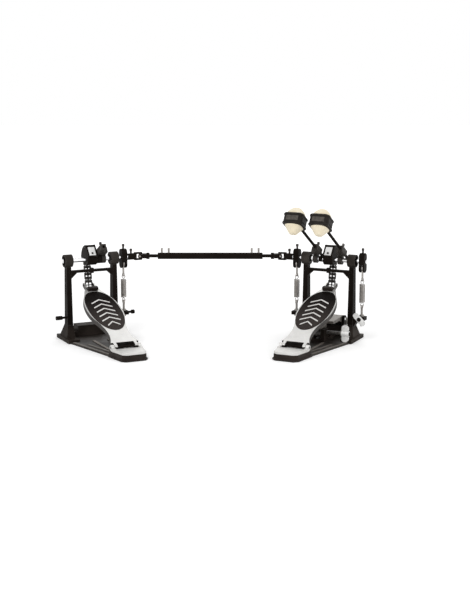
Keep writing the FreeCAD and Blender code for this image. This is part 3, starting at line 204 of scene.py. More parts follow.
# Studio
WHITE = (1, 1, 1, 1)
FLOOR_COLOUR = (0.9, 0.9, 0.9, 1)
FLOOR_ROUGHNESS = 0.9
FLOOR_SPECULAR = 0.1
FLOOR_HALF = 9
FLOOR_FADE = (0.9, 2.6)
FLOOR_GLOW = (0.2, 0.6)
WORLD_LIGHT = 0.7
MIDDLE = Vector((-0.26, 0, 0.12))
LAMPS = {
    "key": {"place": (-1.3, -1.8, 2.0), "size": (1.2, 1.2), "power": 22},
    "fill": {"place": (1.6, -1.4, 1.2), "size": (1.4, 1.0), "power": 9},
    "rim": {"place": (0.2, 1.8, 1.6), "size": (1.6, 0.8), "power": 12},
}
FOCAL_LENGTH = 76.19
SENSOR_WIDTH = 36
CAMERA_SHIFT = (0.0377, -0.0348)
ELEVATION = math.radians(9.96)
DISTANCE = 2.8678


def pedal_frame(pedal):
    way = 1 if pedal == "slave" else -1
    place = Vector((-PEDAL_GAP, 0, 0)) if pedal == "slave" else Vector()
    return Matrix.Translation(place) @ Matrix.Rotation(way * YAW, 4, "Z")


def axle_frame(pedal):
    return pedal_frame(pedal) @ Matrix.Translation((0, 0, AXLE_HIGH))


def board_frame(pedal):
    """Origin on the heel hinge, Y up the footboard, Z square to it."""
    hinge = Matrix.Translation((0, -HINGE_BACK, HINGE_HIGH))
    return pedal_frame(pedal) @ hinge @ Matrix.Rotation(BOARD_SLOPE, 4, "X")


def beater_frame():
    """Origin on the axle, Z along the beater's rod, Y to the drum."""
    return axle_frame("main") @ Matrix.Rotation(BEATER_LEAN, 4, "X")


# Materials
def map_range(tree, value, source, target=(0, 1)):
    """Stretch a value from one span to another and hold it at the ends."""
    node = tree.nodes.new("ShaderNodeMapRange")
    for socket, number in zip(("From Min", "From Max", "To Min", "To Max"), (*source, *target)):
        node.inputs[socket].default_value = number
    tree.links.new(value, node.inputs["Value"])
    return node.outputs["Result"]


def combine(tree, operation, first, second):
    node = tree.nodes.new("ShaderNodeMath")
    node.operation = operation
    tree.links.new(first, node.inputs[0])
    tree.links.new(second, node.inputs[1])
    return node.outputs["Value"]


class Shader:
    """A node material with a few short ways to add texture nodes."""

    def __init__(self, name, metallic=0.0, **inputs):
        self.material = bpy.data.materials.new(name)
        self.material.use_nodes = True
        self.tree = self.material.node_tree
        self.surface = self.tree.nodes["Principled BSDF"]
        self.surface.inputs["Metallic"].default_value = metallic
        for socket, value in inputs.items():
            self.surface.inputs[socket.replace("_", " ")].default_value = value
        self.coords = self.tree.nodes.new("ShaderNodeTexCoord").outputs["Object"]

    def link(self, source, target):
        self.tree.links.new(source, target)

    def noise(self, scale, detail=3.0, stretch=(1, 1, 1)):
        mapping = self.tree.nodes.new("ShaderNodeMapping")
        mapping.inputs["Scale"].default_value = stretch
        self.link(self.coords, mapping.inputs["Vector"])
        node = self.tree.nodes.new("ShaderNodeTexNoise")
        node.inputs["Scale"].default_value = scale
        node.inputs["Detail"].default_value = detail
        self.link(mapping.outputs["Vector"], node.inputs["Vector"])
        return node.outputs["Fac"]

    def cells(self, scale):
        node = self.tree.nodes.new("ShaderNodeTexVoronoi")
        node.inputs["Scale"].default_value = scale
        self.link(self.coords, node.inputs["Vector"])
        return node.outputs["Distance"]

    def upright(self, vector, span):
        """Zero before and one after a span of a vector's Z."""
        split = self.tree.nodes.new("ShaderNodeSeparateXYZ")
        self.link(vector, split.inputs["Vector"])
        return map_range(self.tree, split.outputs["Z"], span)

    def height(self, span):
        """Zero before and one after a span of heights on the object."""
        return self.upright(self.coords, span)

    def facing_up(self, span):
        """Zero on walls and undersides, one on faces that look up."""
        return self.upright(self.normal(), span)

    def normal(self):
        return self.tree.nodes.new("ShaderNodeNewGeometry").outputs["Normal"]

    def dot_product(self):
        node = self.tree.nodes.new("ShaderNodeVectorMath")
        node.operation = "DOT_PRODUCT"
        return node

    def along(self, direction, span):
        """Zero before and one after a span of the object along a direction."""
        dot = self.dot_product()
        self.link(self.coords, dot.inputs[0])
        dot.inputs[1].default_value = direction
        return map_range(self.tree, dot.outputs["Value"], span)

    def edges(self, radius):
        """One on sharp edges, zero on flat faces."""
        bevel = self.tree.nodes.new("ShaderNodeBevel")
        bevel.inputs["Radius"].default_value = radius
        dot = self.dot_product()
        self.link(bevel.outputs["Normal"], dot.inputs[0])
        self.link(self.normal(), dot.inputs[1])
        return map_range(self.tree, dot.outputs["Value"], EDGE_SPAN)

    def ramp(self, value, first, last, span=TONE_SPAN):
        """A colour that changes from one to another over a span of a value."""
        node = self.tree.nodes.new("ShaderNodeValToRGB")
        for element, place, colour in zip(node.color_ramp.elements, span, (first, last)):
            element.position = place
            element.color = (*colour, 1)
        self.link(value, node.inputs["Fac"])
        return node.outputs["Color"]

    def mix(self, factor, first, second):
        node = self.tree.nodes.new("ShaderNodeMix")
        node.data_type = "RGBA"
        self.link(factor, node.inputs["Factor"])
        self.link(first, node.inputs[MIX_FIRST])
        self.link(second, node.inputs[MIX_SECOND])
        return node.outputs[MIX_RESULT]

    def colour(self, source):
        self.link(source, self.surface.inputs["Base Color"])

    def rough(self, value, low, high):
        self.link(map_range(self.tree, value, TONE_SPAN, (low, high)), self.surface.inputs["Roughness"])

    def bump(self, value, strength, depth):
        node = self.tree.nodes.new("ShaderNodeBump")
        node.inputs["Strength"].default_value = strength
        node.inputs["Distance"].default_value = depth
        self.link(value, node.inputs["Height"])
        self.link(node.outputs["Normal"], self.surface.inputs["Normal"])


def black_paint():
    shader = Shader("black_paint", Specular_IOR_Level=0.012)
    base = shader.ramp(shader.noise(26), (0.0078, 0.0058, 0.0047), (0.0140, 0.0110, 0.0094))
    # Painted highlight: the edges are lighter, standing in for glints of light on them
    edge_highlight = shader.ramp(shader.noise(420), (0.036, 0.032, 0.029), (0.13, 0.118, 0.108), EDGE_HIGHLIGHT_SPAN)
    shader.colour(shader.mix(shader.edges(PAINTED_EDGE_WIDTH), base, edge_highlight))
    shader.rough(shader.noise(60, detail=5), low=0.26, high=0.42)
    shader.bump(shader.noise(1300, detail=2), strength=0.12, depth=CAST_GRAIN)
    return shader.material


def frame_black():
    """Dark on the posts, brownish on their feet and lighter on the bearing housings, where a highlight is
    painted.
    """
    shader = Shader("frame_black", Specular_IOR_Level=0.012)
    tone = shader.noise(26)
    post = shader.ramp(tone, (0.0072, 0.0054, 0.0044), (0.0130, 0.0102, 0.0087))
    foot = shader.ramp(tone, (0.021, 0.0162, 0.0135), (0.042, 0.0340, 0.0290))
    # Painted highlight: the bearing housings at the top are lighter, as if lit and reflecting
    housing_highlight = shader.ramp(tone, (0.026, 0.0222, 0.0196), (0.054, 0.0475, 0.0425))
    lower = shader.mix(shader.height(FOOT_SPAN), post, foot)
    base = shader.mix(shader.height(HOUSING_HIGHLIGHT_SPAN), lower, housing_highlight)
    # Painted highlight: the edges are lighter, standing in for glints, as on black_paint
    edge_highlight = shader.ramp(shader.noise(420), (0.030, 0.026, 0.023), (0.12, 0.107, 0.097), EDGE_HIGHLIGHT_SPAN)
    shader.colour(shader.mix(shader.edges(PAINTED_EDGE_WIDTH), base, edge_highlight))
    shader.rough(shader.noise(60, detail=5), low=0.28, high=0.44)
    shader.bump(shader.noise(1300, detail=2), strength=0.12, depth=CAST_GRAIN)
    return shader.material


def base_black():
    shader = Shader("base_black", metallic=0.1, Specular_IOR_Level=0.22)
    tone = shader.noise(9, detail=4, stretch=(1, 4, 1))
    flat = shader.ramp(tone, (0.0125, 0.0098, 0.0078), (0.034, 0.028, 0.0232))
    ridge = shader.ramp(shader.noise(300, detail=4), (0.125, 0.107, 0.091), (0.25, 0.22, 0.19))
    shader.colour(shader.mix(shader.height(RIDGE_SPAN), flat, ridge))
    shader.rough(shader.noise(45, detail=5), low=0.34, high=0.55)
    shader.bump(shader.noise(900, detail=3), strength=0.2, depth=CAST_GRAIN)
    return shader.material


def base_ridge():
    shader = Shader("base_ridge", Specular_IOR_Level=0.3)
    tone = shader.noise(90, detail=4, stretch=(1, 5, 1))
    shader.colour(shader.ramp(tone, (0.062, 0.052, 0.043), (0.165, 0.143, 0.122)))
    shader.rough(shader.noise(45, detail=5), low=0.3, high=0.48)
    shader.bump(shader.noise(900, detail=3), strength=0.2, depth=CAST_GRAIN)
    return shader.material


def heel_rubber():
    shader = Shader("heel_rubber", Specular_IOR_Level=0.1)
    tone = shader.noise(30, detail=4)
    shader.colour(shader.ramp(tone, (0.0135, 0.0098, 0.0082), (0.028, 0.0213, 0.018)))
    shader.rough(shader.noise(120, detail=4), low=0.42, high=0.62)
    shader.bump(shader.noise(1500, detail=2), strength=0.3, depth=COARSE_GRAIN)
    return shader.material


def silver_tone(shader, grain):
    base = shader.ramp(grain, (0.535, 0.528, 0.512), (0.705, 0.70, 0.682))
    patches = shader.noise(35, detail=5)
    second_tone = shader.ramp(patches, (0.575, 0.566, 0.548), (0.735, 0.731, 0.716), span=(0.35, 0.7))
    return shader.mix(shader.noise(14, detail=3), base, second_tone)


def silver_cast():
    shader = Shader("silver_cast", metallic=0.55)
    grain = shader.noise(900, detail=3)
    shader.colour(silver_tone(shader, grain))
    shader.rough(shader.noise(160, detail=5), low=0.34, high=0.50)
    shader.bump(grain, strength=0.3, depth=CAST_GRAIN)
    return shader.material


def board_silver():
    """Silver on top, dark with painted shade on the walls and the underside."""
    shader = Shader("board_silver", metallic=0.55)
    grain = shader.noise(900, detail=3)
    # Painted shade: walls and undersides that face away from the light are dark
    shaded_wall = shader.ramp(shader.noise(60, detail=4), (0.020, 0.017, 0.0148), (0.060, 0.053, 0.047))
    shader.colour(shader.mix(shader.facing_up(SHADED_WALL_SPAN), shaded_wall, silver_tone(shader, grain)))
    shader.rough(shader.noise(160, detail=5), low=0.34, high=0.50)
    shader.bump(grain, strength=0.3, depth=CAST_GRAIN)
    return shader.material


def steel():
    shader = Shader("steel", metallic=1.0)
    tone = shader.noise(180, detail=4)
    shader.colour(shader.ramp(tone, (0.25, 0.232, 0.216), (0.40, 0.378, 0.357)))
    shader.rough(shader.noise(320, detail=3), low=0.34, high=0.5)
    shader.bump(shader.noise(1800, detail=2), strength=0.15, depth=FINE_GRAIN)
    return shader.material


def dark_steel():
    shader = Shader("dark_steel", metallic=1.0)
    tone = shader.noise(260, detail=4)
    shader.colour(shader.ramp(tone, (0.022, 0.019, 0.0175), (0.075, 0.068, 0.063)))
    shader.rough(shader.noise(320, detail=3), low=0.26, high=0.46)
    shader.bump(shader.noise(1800, detail=2), strength=0.15, depth=FINE_GRAIN)
    return shader.material


def chrome():
    shader = Shader("chrome", metallic=1.0)
    tone = shader.noise(120, detail=4)
    shader.colour(shader.ramp(tone, (0.70, 0.70, 0.71), (0.84, 0.84, 0.85)))
    shader.rough(shader.noise(260, detail=5), low=0.07, high=0.2)
    return shader.material


def wing_tone(shader):
    base = shader.ramp(shader.noise(240, detail=4), (0.74, 0.735, 0.72), (0.92, 0.915, 0.90))
    # Painted shade: the edges of the bright wing are dark, as outlines where the light falls away
    second_tone = shader.ramp(shader.noise(900, detail=3), (0.03, 0.027, 0.024), (0.26, 0.25, 0.235))
    return shader.mix(shader.edges(PAINTED_EDGE_WIDTH), base, second_tone)


def wing_silver():
    shader = Shader("wing_silver", metallic=0.15)
    shader.colour(wing_tone(shader))
    shader.rough(shader.noise(320, detail=4), low=0.26, high=0.42)
    shader.bump(shader.noise(1500, detail=2), strength=0.15, depth=FINE_GRAIN)
    return shader.material


def screw_silver():
    """Bright on the wing of the hoop clamp's screw, dark on its stem."""
    shader = Shader("screw_silver", metallic=0.15)
    stem = shader.ramp(shader.noise(240, detail=4), (0.030, 0.027, 0.024), (0.14, 0.13, 0.12))
    across = (math.cos(YAW), -math.sin(YAW), 0)
    shader.colour(shader.mix(shader.along(across, WING_SPAN), stem, wing_tone(shader)))
    shader.rough(shader.noise(320, detail=4), low=0.26, high=0.42)
    shader.bump(shader.noise(1500, detail=2), strength=0.15, depth=FINE_GRAIN)
    return shader.material


def clamp_grey():
    shader = Shader("clamp_grey", metallic=0.1, Specular_IOR_Level=0.14)
    speck = shader.cells(1500)
    shader.colour(shader.ramp(speck, (0.012, 0.0102, 0.009), (0.052, 0.046, 0.041), span=(0.1, 0.75)))
    shader.rough(shader.noise(300, detail=4), low=0.42, high=0.62)
    shader.bump(speck, strength=0.35, depth=COARSE_GRAIN)
    return shader.material


def jaw_brown():
    shader = Shader("jaw_brown", metallic=0.45)
    speck = shader.noise(700, detail=4)
    shader.colour(shader.ramp(speck, (0.13, 0.115, 0.10), (0.24, 0.22, 0.195)))
    shader.rough(shader.noise(200, detail=4), low=0.38, high=0.55)
    shader.bump(speck, strength=0.25, depth=CAST_GRAIN)
    return shader.material


def grip_black():
    """Black towards the toe, lighter and browner towards the heel with a painted highlight."""
    shader = Shader("grip_black", Specular_IOR_Level=0.02)
    speck = shader.cells(620)
    dark = shader.ramp(speck, (0.0030, 0.0023, 0.0020), (0.0085, 0.0068, 0.0060), span=(0.1, 0.7))
    # Painted highlight: the lower, heel end of the pad is lighter, as gloss catches the light there
    pad_highlight = shader.ramp(speck, (0.021, 0.0172, 0.0156), (0.049, 0.041, 0.0378), span=(0.1, 0.7))
    shader.colour(shader.mix(shader.height(PAD_HIGHLIGHT_SPAN), dark, pad_highlight))
    shader.rough(shader.noise(240, detail=4), low=0.5, high=0.7)
    shader.bump(speck, strength=0.5, depth=GRIP_GRAIN)
    return shader.material


def grip_bar():
    shader = Shader("grip_bar", metallic=0.1)
    tone = shader.noise(700, detail=4)
    shader.colour(shader.ramp(tone, (0.60, 0.59, 0.57), (0.80, 0.79, 0.77)))
    shader.rough(shader.noise(300, detail=3), low=0.4, high=0.6)
    shader.bump(tone, strength=0.25, depth=CAST_GRAIN)
    return shader.material


def head_black():
    shader = Shader("head_black", Specular_IOR_Level=0.06)
    tone = shader.noise(160, detail=4)
    base = shader.ramp(tone, (0.0130, 0.0108, 0.0093), (0.0280, 0.0240, 0.0210))
    # Painted highlight: the head's edges are lighter, standing in for glints of light on them
    edge_highlight = shader.ramp(tone, (0.050, 0.044, 0.039), (0.095, 0.085, 0.077))
    shader.colour(shader.mix(shader.edges(HEAD_EDGE_HIGHLIGHT_WIDTH), base, edge_highlight))
    shader.rough(shader.noise(210, detail=4), low=0.36, high=0.54)
    shader.bump(shader.noise(1300, detail=3), strength=0.25, depth=COARSE_GRAIN)
    return shader.material


def head_panel():
    # A lighter copy of head_black: a painted highlight, used only on the panel at the head's far end, which
    # faces the light
    shader = Shader("head_panel", Specular_IOR_Level=0.1)
    tone = shader.noise(160, detail=4)
    shader.colour(shader.ramp(tone, (0.054, 0.0470, 0.0410), (0.102, 0.0910, 0.0800)))
    shader.rough(shader.noise(210, detail=4), low=0.4, high=0.58)
    shader.bump(shader.noise(1300, detail=3), strength=0.25, depth=COARSE_GRAIN)
    return shader.material


def felt():
    shader = Shader("felt", Sheen_Weight=0.3, Sheen_Roughness=0.6, Specular_IOR_Level=0.15)
    wool = shader.noise(1100, detail=6)
    base = shader.ramp(wool, (0.72, 0.60, 0.41), (0.92, 0.84, 0.66))
    patch = shader.ramp(shader.noise(70, detail=4), (0.80, 0.69, 0.49), (0.94, 0.88, 0.71))
    shader.colour(shader.mix(shader.noise(200, detail=2), base, patch))
    shader.rough(wool, low=0.85, high=1.0)
    shader.bump(wool, strength=0.6, depth=FELT_GRAIN)
    return shader.material


def bare_plate():
    shader = Shader("bare_plate", metallic=0.2)
    tone = shader.noise(300, detail=4, stretch=(1, 1, 8))
    shader.colour(shader.ramp(tone, (0.72, 0.72, 0.71), (0.86, 0.86, 0.85)))
    shader.rough(shader.noise(400, detail=3), low=0.25, high=0.4)
    return shader.material


SLOT_FINISHES = {
    "black_paint": (black_paint, frame_black, base_black, base_ridge),
    "black_plastic": (heel_rubber, head_black, head_panel),
    "silver_cast": (silver_cast, board_silver, grip_bar, bare_plate),
    "steel": (steel, dark_steel),
    "chrome": (chrome, wing_silver, screw_silver),
    "clamp_grey": (clamp_grey, jaw_brown),
    "grip_black": (grip_black,),
    "felt": (felt,),
}
MATERIALS = {make.__name__: make() for makers in SLOT_FINISHES.values() for make in makers}
NODE_BODY = {node: body for body, nodes in frame["record"]["behaviour"]["bodies"].items() for node in nodes}


# Pieces
def piece(name, mesh, material, body=None, node=None):
    """A mesh object with its material, riding on a body and standing for a node."""
    item = bpy.data.objects.new(name, mesh)
    bpy.context.scene.collection.objects.link(item)
    mesh.materials.clear()
    mesh.materials.append(MATERIALS[material])
    mesh.shade_smooth()
    if body:
        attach(item, body)
    if node:
        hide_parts(node)
    return item


def soften(item, width, segments=2):
    """Round the sharp edges of a piece, as casting and machining leave them."""
    bevel = item.modifiers.new("edges", "BEVEL")
    bevel.width = width
    bevel.segments = segments
    bevel.limit_method = "ANGLE"
    bevel.angle_limit = CREASE
    item.modifiers.new("normals", "WEIGHTED_NORMAL")


def solids_of(node):
    """The separate solids of a node as clean meshes, each with its middle and its size."""
    whole = bmesh.new()
    whole.from_mesh(frame["nodes"][node].data)
    bmesh.ops.remove_doubles(whole, verts=whole.verts, dist=WELD)
    bmesh.ops.dissolve_limit(whole, angle_limit=FLAT_ANGLE, verts=whole.verts, edges=whole.edges)
    whole.verts.ensure_lookup_table()
    seen = set()
    found = []
    for vert in whole.verts:
        if vert.index in seen:
            continue
        stack = [vert]
        island = set()
        while stack:
            here = stack.pop()
            if here.index in island:
                continue
            island.add(here.index)
            stack += [edge.other_vert(here) for edge in here.link_edges]
        seen |= island
        part = whole.copy()
        part.verts.ensure_lookup_table()
        away = [other for other in part.verts if other.index not in island]
        bmesh.ops.delete(part, geom=away, context="VERTS")
        mesh = bpy.data.meshes.new(node)
        part.to_mesh(mesh)
        part.free()
        low = Vector([min(corner.co[axis] for corner in mesh.vertices) for axis in range(3)])
        high = Vector([max(corner.co[axis] for corner in mesh.vertices) for axis in range(3)])
        found.append((mesh, (low + high) / 2, high - low))
    whole.free()
    return found


def dress(node, finish, rounding):
    """Show a node's solids with rounded edges; a finish can be picked by a solid's place and size."""
    for number, (mesh, middle, size) in enumerate(solids_of(node), start=1):
        chosen = finish(middle, size) if callable(finish) else finish
        item = piece(f"{node}.{number}", mesh, chosen, NODE_BODY[node], node)
        if rounding:
            soften(item, rounding)


def loft(work, rings):
    """Add a solid through rings of points, with a flat face at each end."""
    rings = [[work.verts.new(point) for point in ring] for ring in rings]
    for lower, upper in zip(rings, rings[1:]):
        for step in range(len(lower)):
            after = (step + 1) % len(lower)
            work.faces.new((lower[step], lower[after], upper[after], upper[step]))
    work.faces.new(rings[0])
    work.faces.new(rings[-1])


def finished_mesh(work, name):
    bmesh.ops.recalc_face_normals(work, faces=work.faces)
    mesh = bpy.data.meshes.new(name)
    work.to_mesh(mesh)
    work.free()
    return mesh


def lofted(rings, name):
    work = bmesh.new()
    loft(work, rings)
    return finished_mesh(work, name)


def lathe(profile, steps, reach=None):
    """A mesh turned about Y from pairs of radius and height, its ends closed; reach can shape its rings."""
    rings = []
    for radius, height in profile:
        ring = []
        for step in range(steps):
            angle = 2 * math.pi * step / steps
            out = reach(angle, radius) if reach else radius
            ring.append((out * math.cos(angle), height, out * math.sin(angle)))
        rings.append(ring)
    return lofted(rings, "lathe")


def rectangle(across, along, level):
    """Corners of a level rectangle from two (low, high) spans."""
    (left, right), (front, back) = across, along
    return [(left, front, level), (right, front, level), (right, back, level), (left, back, level)]


def box_mesh(across, along, height):
    """A box from three (low, high) spans."""
    return lofted([rectangle(across, along, level) for level in height], "box")


# Springs, wound from one wire with a loop at each end
def spring_path():
    """Points of the wire's middle line, from the lower loop's crown at the origin."""
    quarter = COIL_STEPS // 4
    coil = []
    for step in range(quarter, COIL_STEPS * COIL_TURNS - quarter + 1):
        angle = 2 * math.pi * step / COIL_STEPS
        height = HOOK_RISE + COIL_PITCH * step / COIL_STEPS
        coil.append(Vector((COIL_RADIUS * math.cos(angle), COIL_RADIUS * math.sin(angle), height)))
    crown = COIL_TOP + HOOK_RISE
    loop = []
    for step in range(3 * quarter):
        angle = 2 * math.pi * step / COIL_STEPS
        level = crown - HOOK_RADIUS + HOOK_RADIUS * math.sin(angle)
        loop.append(Vector((-HOOK_RADIUS * math.cos(angle), 0, level)))
    low_loop = [Vector((-point.x, 0, crown - point.z)) for point in reversed(loop)]
    return low_loop + coil + loop


def wire_mesh(points, radius):
    curve = bpy.data.curves.new("wire", "CURVE")
    curve.dimensions = "3D"
    curve.bevel_depth = radius
    curve.bevel_resolution = 3
    curve.use_fill_caps = True
    spline = curve.splines.new("NURBS")
    spline.points.add(len(points) - 1)
    for place, point in zip(spline.points, points):
        place.co = (*point, 1)
    spline.use_endpoint_u = True
    spline.order_u = 4
    spline.resolution_u = 2
    holder = bpy.data.objects.new("wire", curve)
    bpy.context.scene.collection.objects.link(holder)
    bpy.context.view_layer.update()
    mesh = bpy.data.meshes.new_from_object(holder.evaluated_get(bpy.context.evaluated_depsgraph_get()))
    bpy.data.objects.remove(holder)
    return mesh


def spring(name, pedal, way):
    mesh = wire_mesh(spring_path(), COIL_WIRE)
    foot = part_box(f"{name}_spring")[0].z + COIL_WIRE
    place = pedal_frame(pedal) @ Matrix.Translation((way * ROCKER_OFF, 0, foot))
    mesh.transform(place)
    item = piece(f"{name}_spring_wire", mesh, "steel", node=f"{name}_spring")
    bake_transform(item)


# Beaters
def rounded_square(angle, grow):
    """Reach of the head's outline at an angle: four flats with round corners, grown all round."""
    flat = (HEAD_FLAT + grow) / max(abs(math.cos(angle)), abs(math.sin(angle)))
    return min(flat, HEAD_CORNER + grow)


def soft_square(angle, radius):
    """Reach of a felt's outline at an angle: a square with very round corners."""
    across = abs(math.cos(angle)) ** FELT_SQUARE
    along = abs(math.sin(angle)) ** FELT_SQUARE
    return radius / (across + along) ** (1 / FELT_SQUARE)


def beater_head(name, place):
    front = [(grow, HEAD_HALF - below) for grow, below in HEAD_LIP]
    back = [(grow, -height) for grow, height in front]
    head = lathe(back + front[::-1], steps=96, reach=rounded_square)
    head.transform(place)
    item = piece(f"{name}_head_body", head, "head_black", f"{name}_beater", f"{name}_beater_head")
    soften(item, HEAD_ROUNDING)
    for turn in range(4):
        panel = panel_mesh()
        panel.transform(place @ Matrix.Rotation(turn * math.pi / 2, 4, "Y"))
        # Only the first panel, on the head's far end, gets the lighter head_panel finish, which is a
        # painted highlight
        finish = "head_black" if turn else "head_panel"
        soften(piece(f"{name}_head_panel_{turn}", panel, finish, f"{name}_beater"), PANEL_ROUNDING)
    collar = lathe(COLLAR_SIDE, steps=32)
    collar.transform(place @ Matrix.Rotation(math.radians(90), 4, "X"))
    piece(f"{name}_head_collar", collar, "head_black", f"{name}_beater")


def panel_mesh():
    """A raised panel on a flat of the head, with slanting sides, facing Z."""
    rings = []
    for level, shrink in ((HEAD_FLAT - PANEL_SUNK, 0), (HEAD_FLAT + PANEL_PROUD, PANEL_SLANT)):
        half, long = PANEL_ACROSS - shrink, PANEL_ALONG - shrink
        rings.append(rectangle((-half, half), (-long, long), level))
    return lofted(rings, "panel")


def beater_felts(name, place):
    """Two slightly uneven blunt cones, the one on the drum's side fuller than the other."""
    random.seed(FELT_SEED)
    for way, word in ((-1, "back"), (1, "front")):
        profile = []
        for radius, beyond in FELT_SIDE:
            fuller = FELT_FULLER[word] * math.sin(math.pi * beyond / FELT_LONG)
            profile.append((radius + fuller, way * (HEAD_HALF + beyond)))
        mesh = lathe(profile, steps=56, reach=soft_square)
        for vert in mesh.vertices:
            vert.co *= 1 + random.uniform(-FELT_UNEVEN, FELT_UNEVEN)
        mesh.transform(place)
        item = piece(f"{name}_felt_{word}", mesh, "felt", f"{name}_beater", f"{name}_beater_felt")
        item.modifiers.new("smooth", "SUBSURF").levels = 1


def beater(name):
    place = beater_frame() @ Matrix.Translation((BEATER_ACROSS[name], ROD_OFFSET, HEAD_REACH))
    beater_head(name, place)
    beater_felts(name, place)


# Footboard grips, with plain raised bars
def ellipse_reach(along):
    """Half width of the grip at a distance along it from its middle."""
    return GRIP_HALF * math.sqrt(max(0.0, 1 - (along / GRIP_LONG) ** 2))


def face_point(angle, share, lift):
    """A point of the grip's face, which is blunter towards the toe than towards the heel."""
    power = TOE_BLUNT if math.sin(angle) > 0 else 1.0
    across = math.copysign(abs(math.cos(angle)) ** power, math.cos(angle))
    along = math.copysign(abs(math.sin(angle)) ** power, math.sin(angle))
    return share * GRIP_FACE_HALF * across, share * GRIP_FACE_LONG * along, lift


def grip_face(pedal, place):
    """The pad in its recess, with a wider crowned face on top."""
    angles = [2 * math.pi * step / GRIP_STEPS for step in range(GRIP_STEPS)]
    rings = []
    for lift in (GRIP_BOTTOM, GRIP_SEAT):
        rings.append([(GRIP_HALF * math.cos(angle), GRIP_LONG * math.sin(angle), lift) for angle in angles])
    crown = [(share, GRIP_LIFT + rise) for share, rise in GRIP_CROWN]
    for share, lift in [(1.0, GRIP_SEAT), (1.0, GRIP_RIM)] + crown:
        rings.append([face_point(angle, share, lift) for angle in angles])
    mesh = lofted(rings, "grip")
    mesh.transform(place)
    piece(f"{pedal}_grip_face", mesh, "grip_black", f"{pedal}_board", f"{pedal}_grip_pad")


def grip_bars(pedal, place):
    """Chevrons that point to the toe, shorter where the grip narrows."""
    bars = bmesh.new()
    for number in range(BAR_COUNT):
        middle = BAR_FIRST + number * BAR_PITCH
        half = min(BAR_HALF, ellipse_reach(middle - BAR_DROP) - BAR_END_MARGIN,
                   ellipse_reach(middle + BAR_THICK) - BAR_TOP_MARGIN)
        heel_side = [(-half, middle - BAR_DROP), (0, middle), (half, middle - BAR_DROP)]
        corners = heel_side + [(x, y + BAR_THICK) for x, y in reversed(heel_side)]
        levels = (GRIP_LIFT - BAR_SUNK, GRIP_LIFT + BAR_PROUD)
        loft(bars, [[(x, y, level) for x, y in corners] for level in levels])
    mesh = finished_mesh(bars, "bars")
    mesh.transform(place)
    soften(piece(f"{pedal}_grip_bars", mesh, "grip_bar", f"{pedal}_board"), BAR_ROUNDING)


def grip(pedal):
    place = board_frame(pedal) @ Matrix.Translation((0, GRIP_CENTRE, BOARD_TOP))
    grip_face(pedal, place)
    grip_bars(pedal, place)


def toe_stop(pedal):
    """The stop block at the toe is the shorter of the grip node's two solids."""
    for mesh, _, size in solids_of(f"{pedal}_grip_pad"):
        if size.y < STOP_LONGEST:
            item = piece(f"{pedal}_toe_stop", mesh, "heel_rubber", f"{pedal}_board", f"{pedal}_grip_pad")
            soften(item, STOP_ROUNDING, segments=3)


# Small forms on cams, axles, wings and base plates
def cam_rim(pedal):
    """Black rim round the sides and the top of the cam's bare plate."""
    low, high = Vector((0, *CAM_FACE_LOW)), Vector((0, *CAM_FACE_HIGH))
    middle = CAM_FLANGE * (low + high) / 2
    rise = math.atan2(high.z - low.z, high.y - low.y)
    place = axle_frame(pedal) @ Matrix.Translation(middle) @ Matrix.Rotation(rise, 4, "X")
    end = CAM_PLATE_LONG / 2
    spans = {
        "left": ((-CAM_SIDE, -CAM_SIDE + RIM_WIDE), (-end, end + RIM_OVER)),
        "right": ((CAM_SIDE - RIM_WIDE, CAM_SIDE), (-end, end + RIM_OVER)),
        "top": ((-CAM_SIDE, CAM_SIDE), (end - RIM_TOP_WIDE, end + RIM_OVER)),
    }
    for word, (across, along) in spans.items():
        mesh = box_mesh(across, along, (0, RIM_HIGH))
        mesh.transform(place)
        soften(piece(f"{pedal}_cam_rim_{word}", mesh, "black_paint", f"{pedal}_axle"), RIM_ROUNDING)


def hub_sleeve(pedal, start, stop, radius):
    """Black sleeve on the axle beside the cam."""
    side = [(radius - SLEEVE_CHAMFER, start), (radius, start + SLEEVE_CHAMFER), (radius, stop)]
    mesh = lathe(side, steps=40)
    mesh.transform(axle_frame(pedal) @ TURN_Y_TO_X)
    piece(f"{pedal}_axle_hub_sleeve", mesh, "black_paint", f"{pedal}_axle")


def wing_caps():
    """Dark ends on the hubs of the two wings of the main pedal."""
    cap = lathe(CAP_SIDE, steps=28)
    cap.transform(pedal_frame("main") @ Matrix.Translation(SCREW_END) @ TURN_Y_TO_X)
    piece("hoop_screw_cap", cap, "black_paint", "hoop_screw")
    cap = lathe([(radius, -height) for radius, height in CAP_SIDE], steps=28)
    cap.transform(pedal_frame("main") @ Matrix.Translation(LUG_END))
    piece("main_lug_cap", cap, "black_paint", "main_base")


def edge_rails(pedal):
    """Low raised ribs along the slanting sides of a base plate: one on its edge and one further in."""
    slant = (PLATE_TOE[0] - PLATE_HEEL[0]) / (PLATE_TOE[1] - PLATE_HEEL[1])
    for word, rib in RIBS.items():
        across = (-rib["inset"] - rib["wide"], -rib["inset"])
        for way, side in ((-1, "left"), (1, "right")):
            mesh = box_mesh(across, rib["span"], (PLATE_TOP, PLATE_TOP + rib["high"]))
            for vert in mesh.vertices:
                edge = PLATE_HEEL[0] + slant * (vert.co.y - PLATE_HEEL[1])
                vert.co.x = way * (edge + vert.co.x)
            mesh.transform(pedal_frame(pedal))
            if way < 0:
                mesh.flip_normals()
            soften(piece(f"{pedal}_{word}_rib_{side}", mesh, "base_ridge", f"{pedal}_base"), RIB_ROUNDING)


# Finish and edge rounding of each node's solids
def fastener_finish(middle, size):
    """Hinge pins and knobs are black, screws and wings bright."""
    hinge = middle.z < HINGE_HIGHEST and size.x > HINGE_LONG
    inner_knob = INNER_KNOB[0] < middle.x < INNER_KNOB[1] and middle.z > INNER_KNOB_LOWEST
    if hinge or inner_knob or middle.x < OUTER_KNOB:
        return "black_paint"
    return "wing_silver" if size.z > WING_TALL else "chrome"


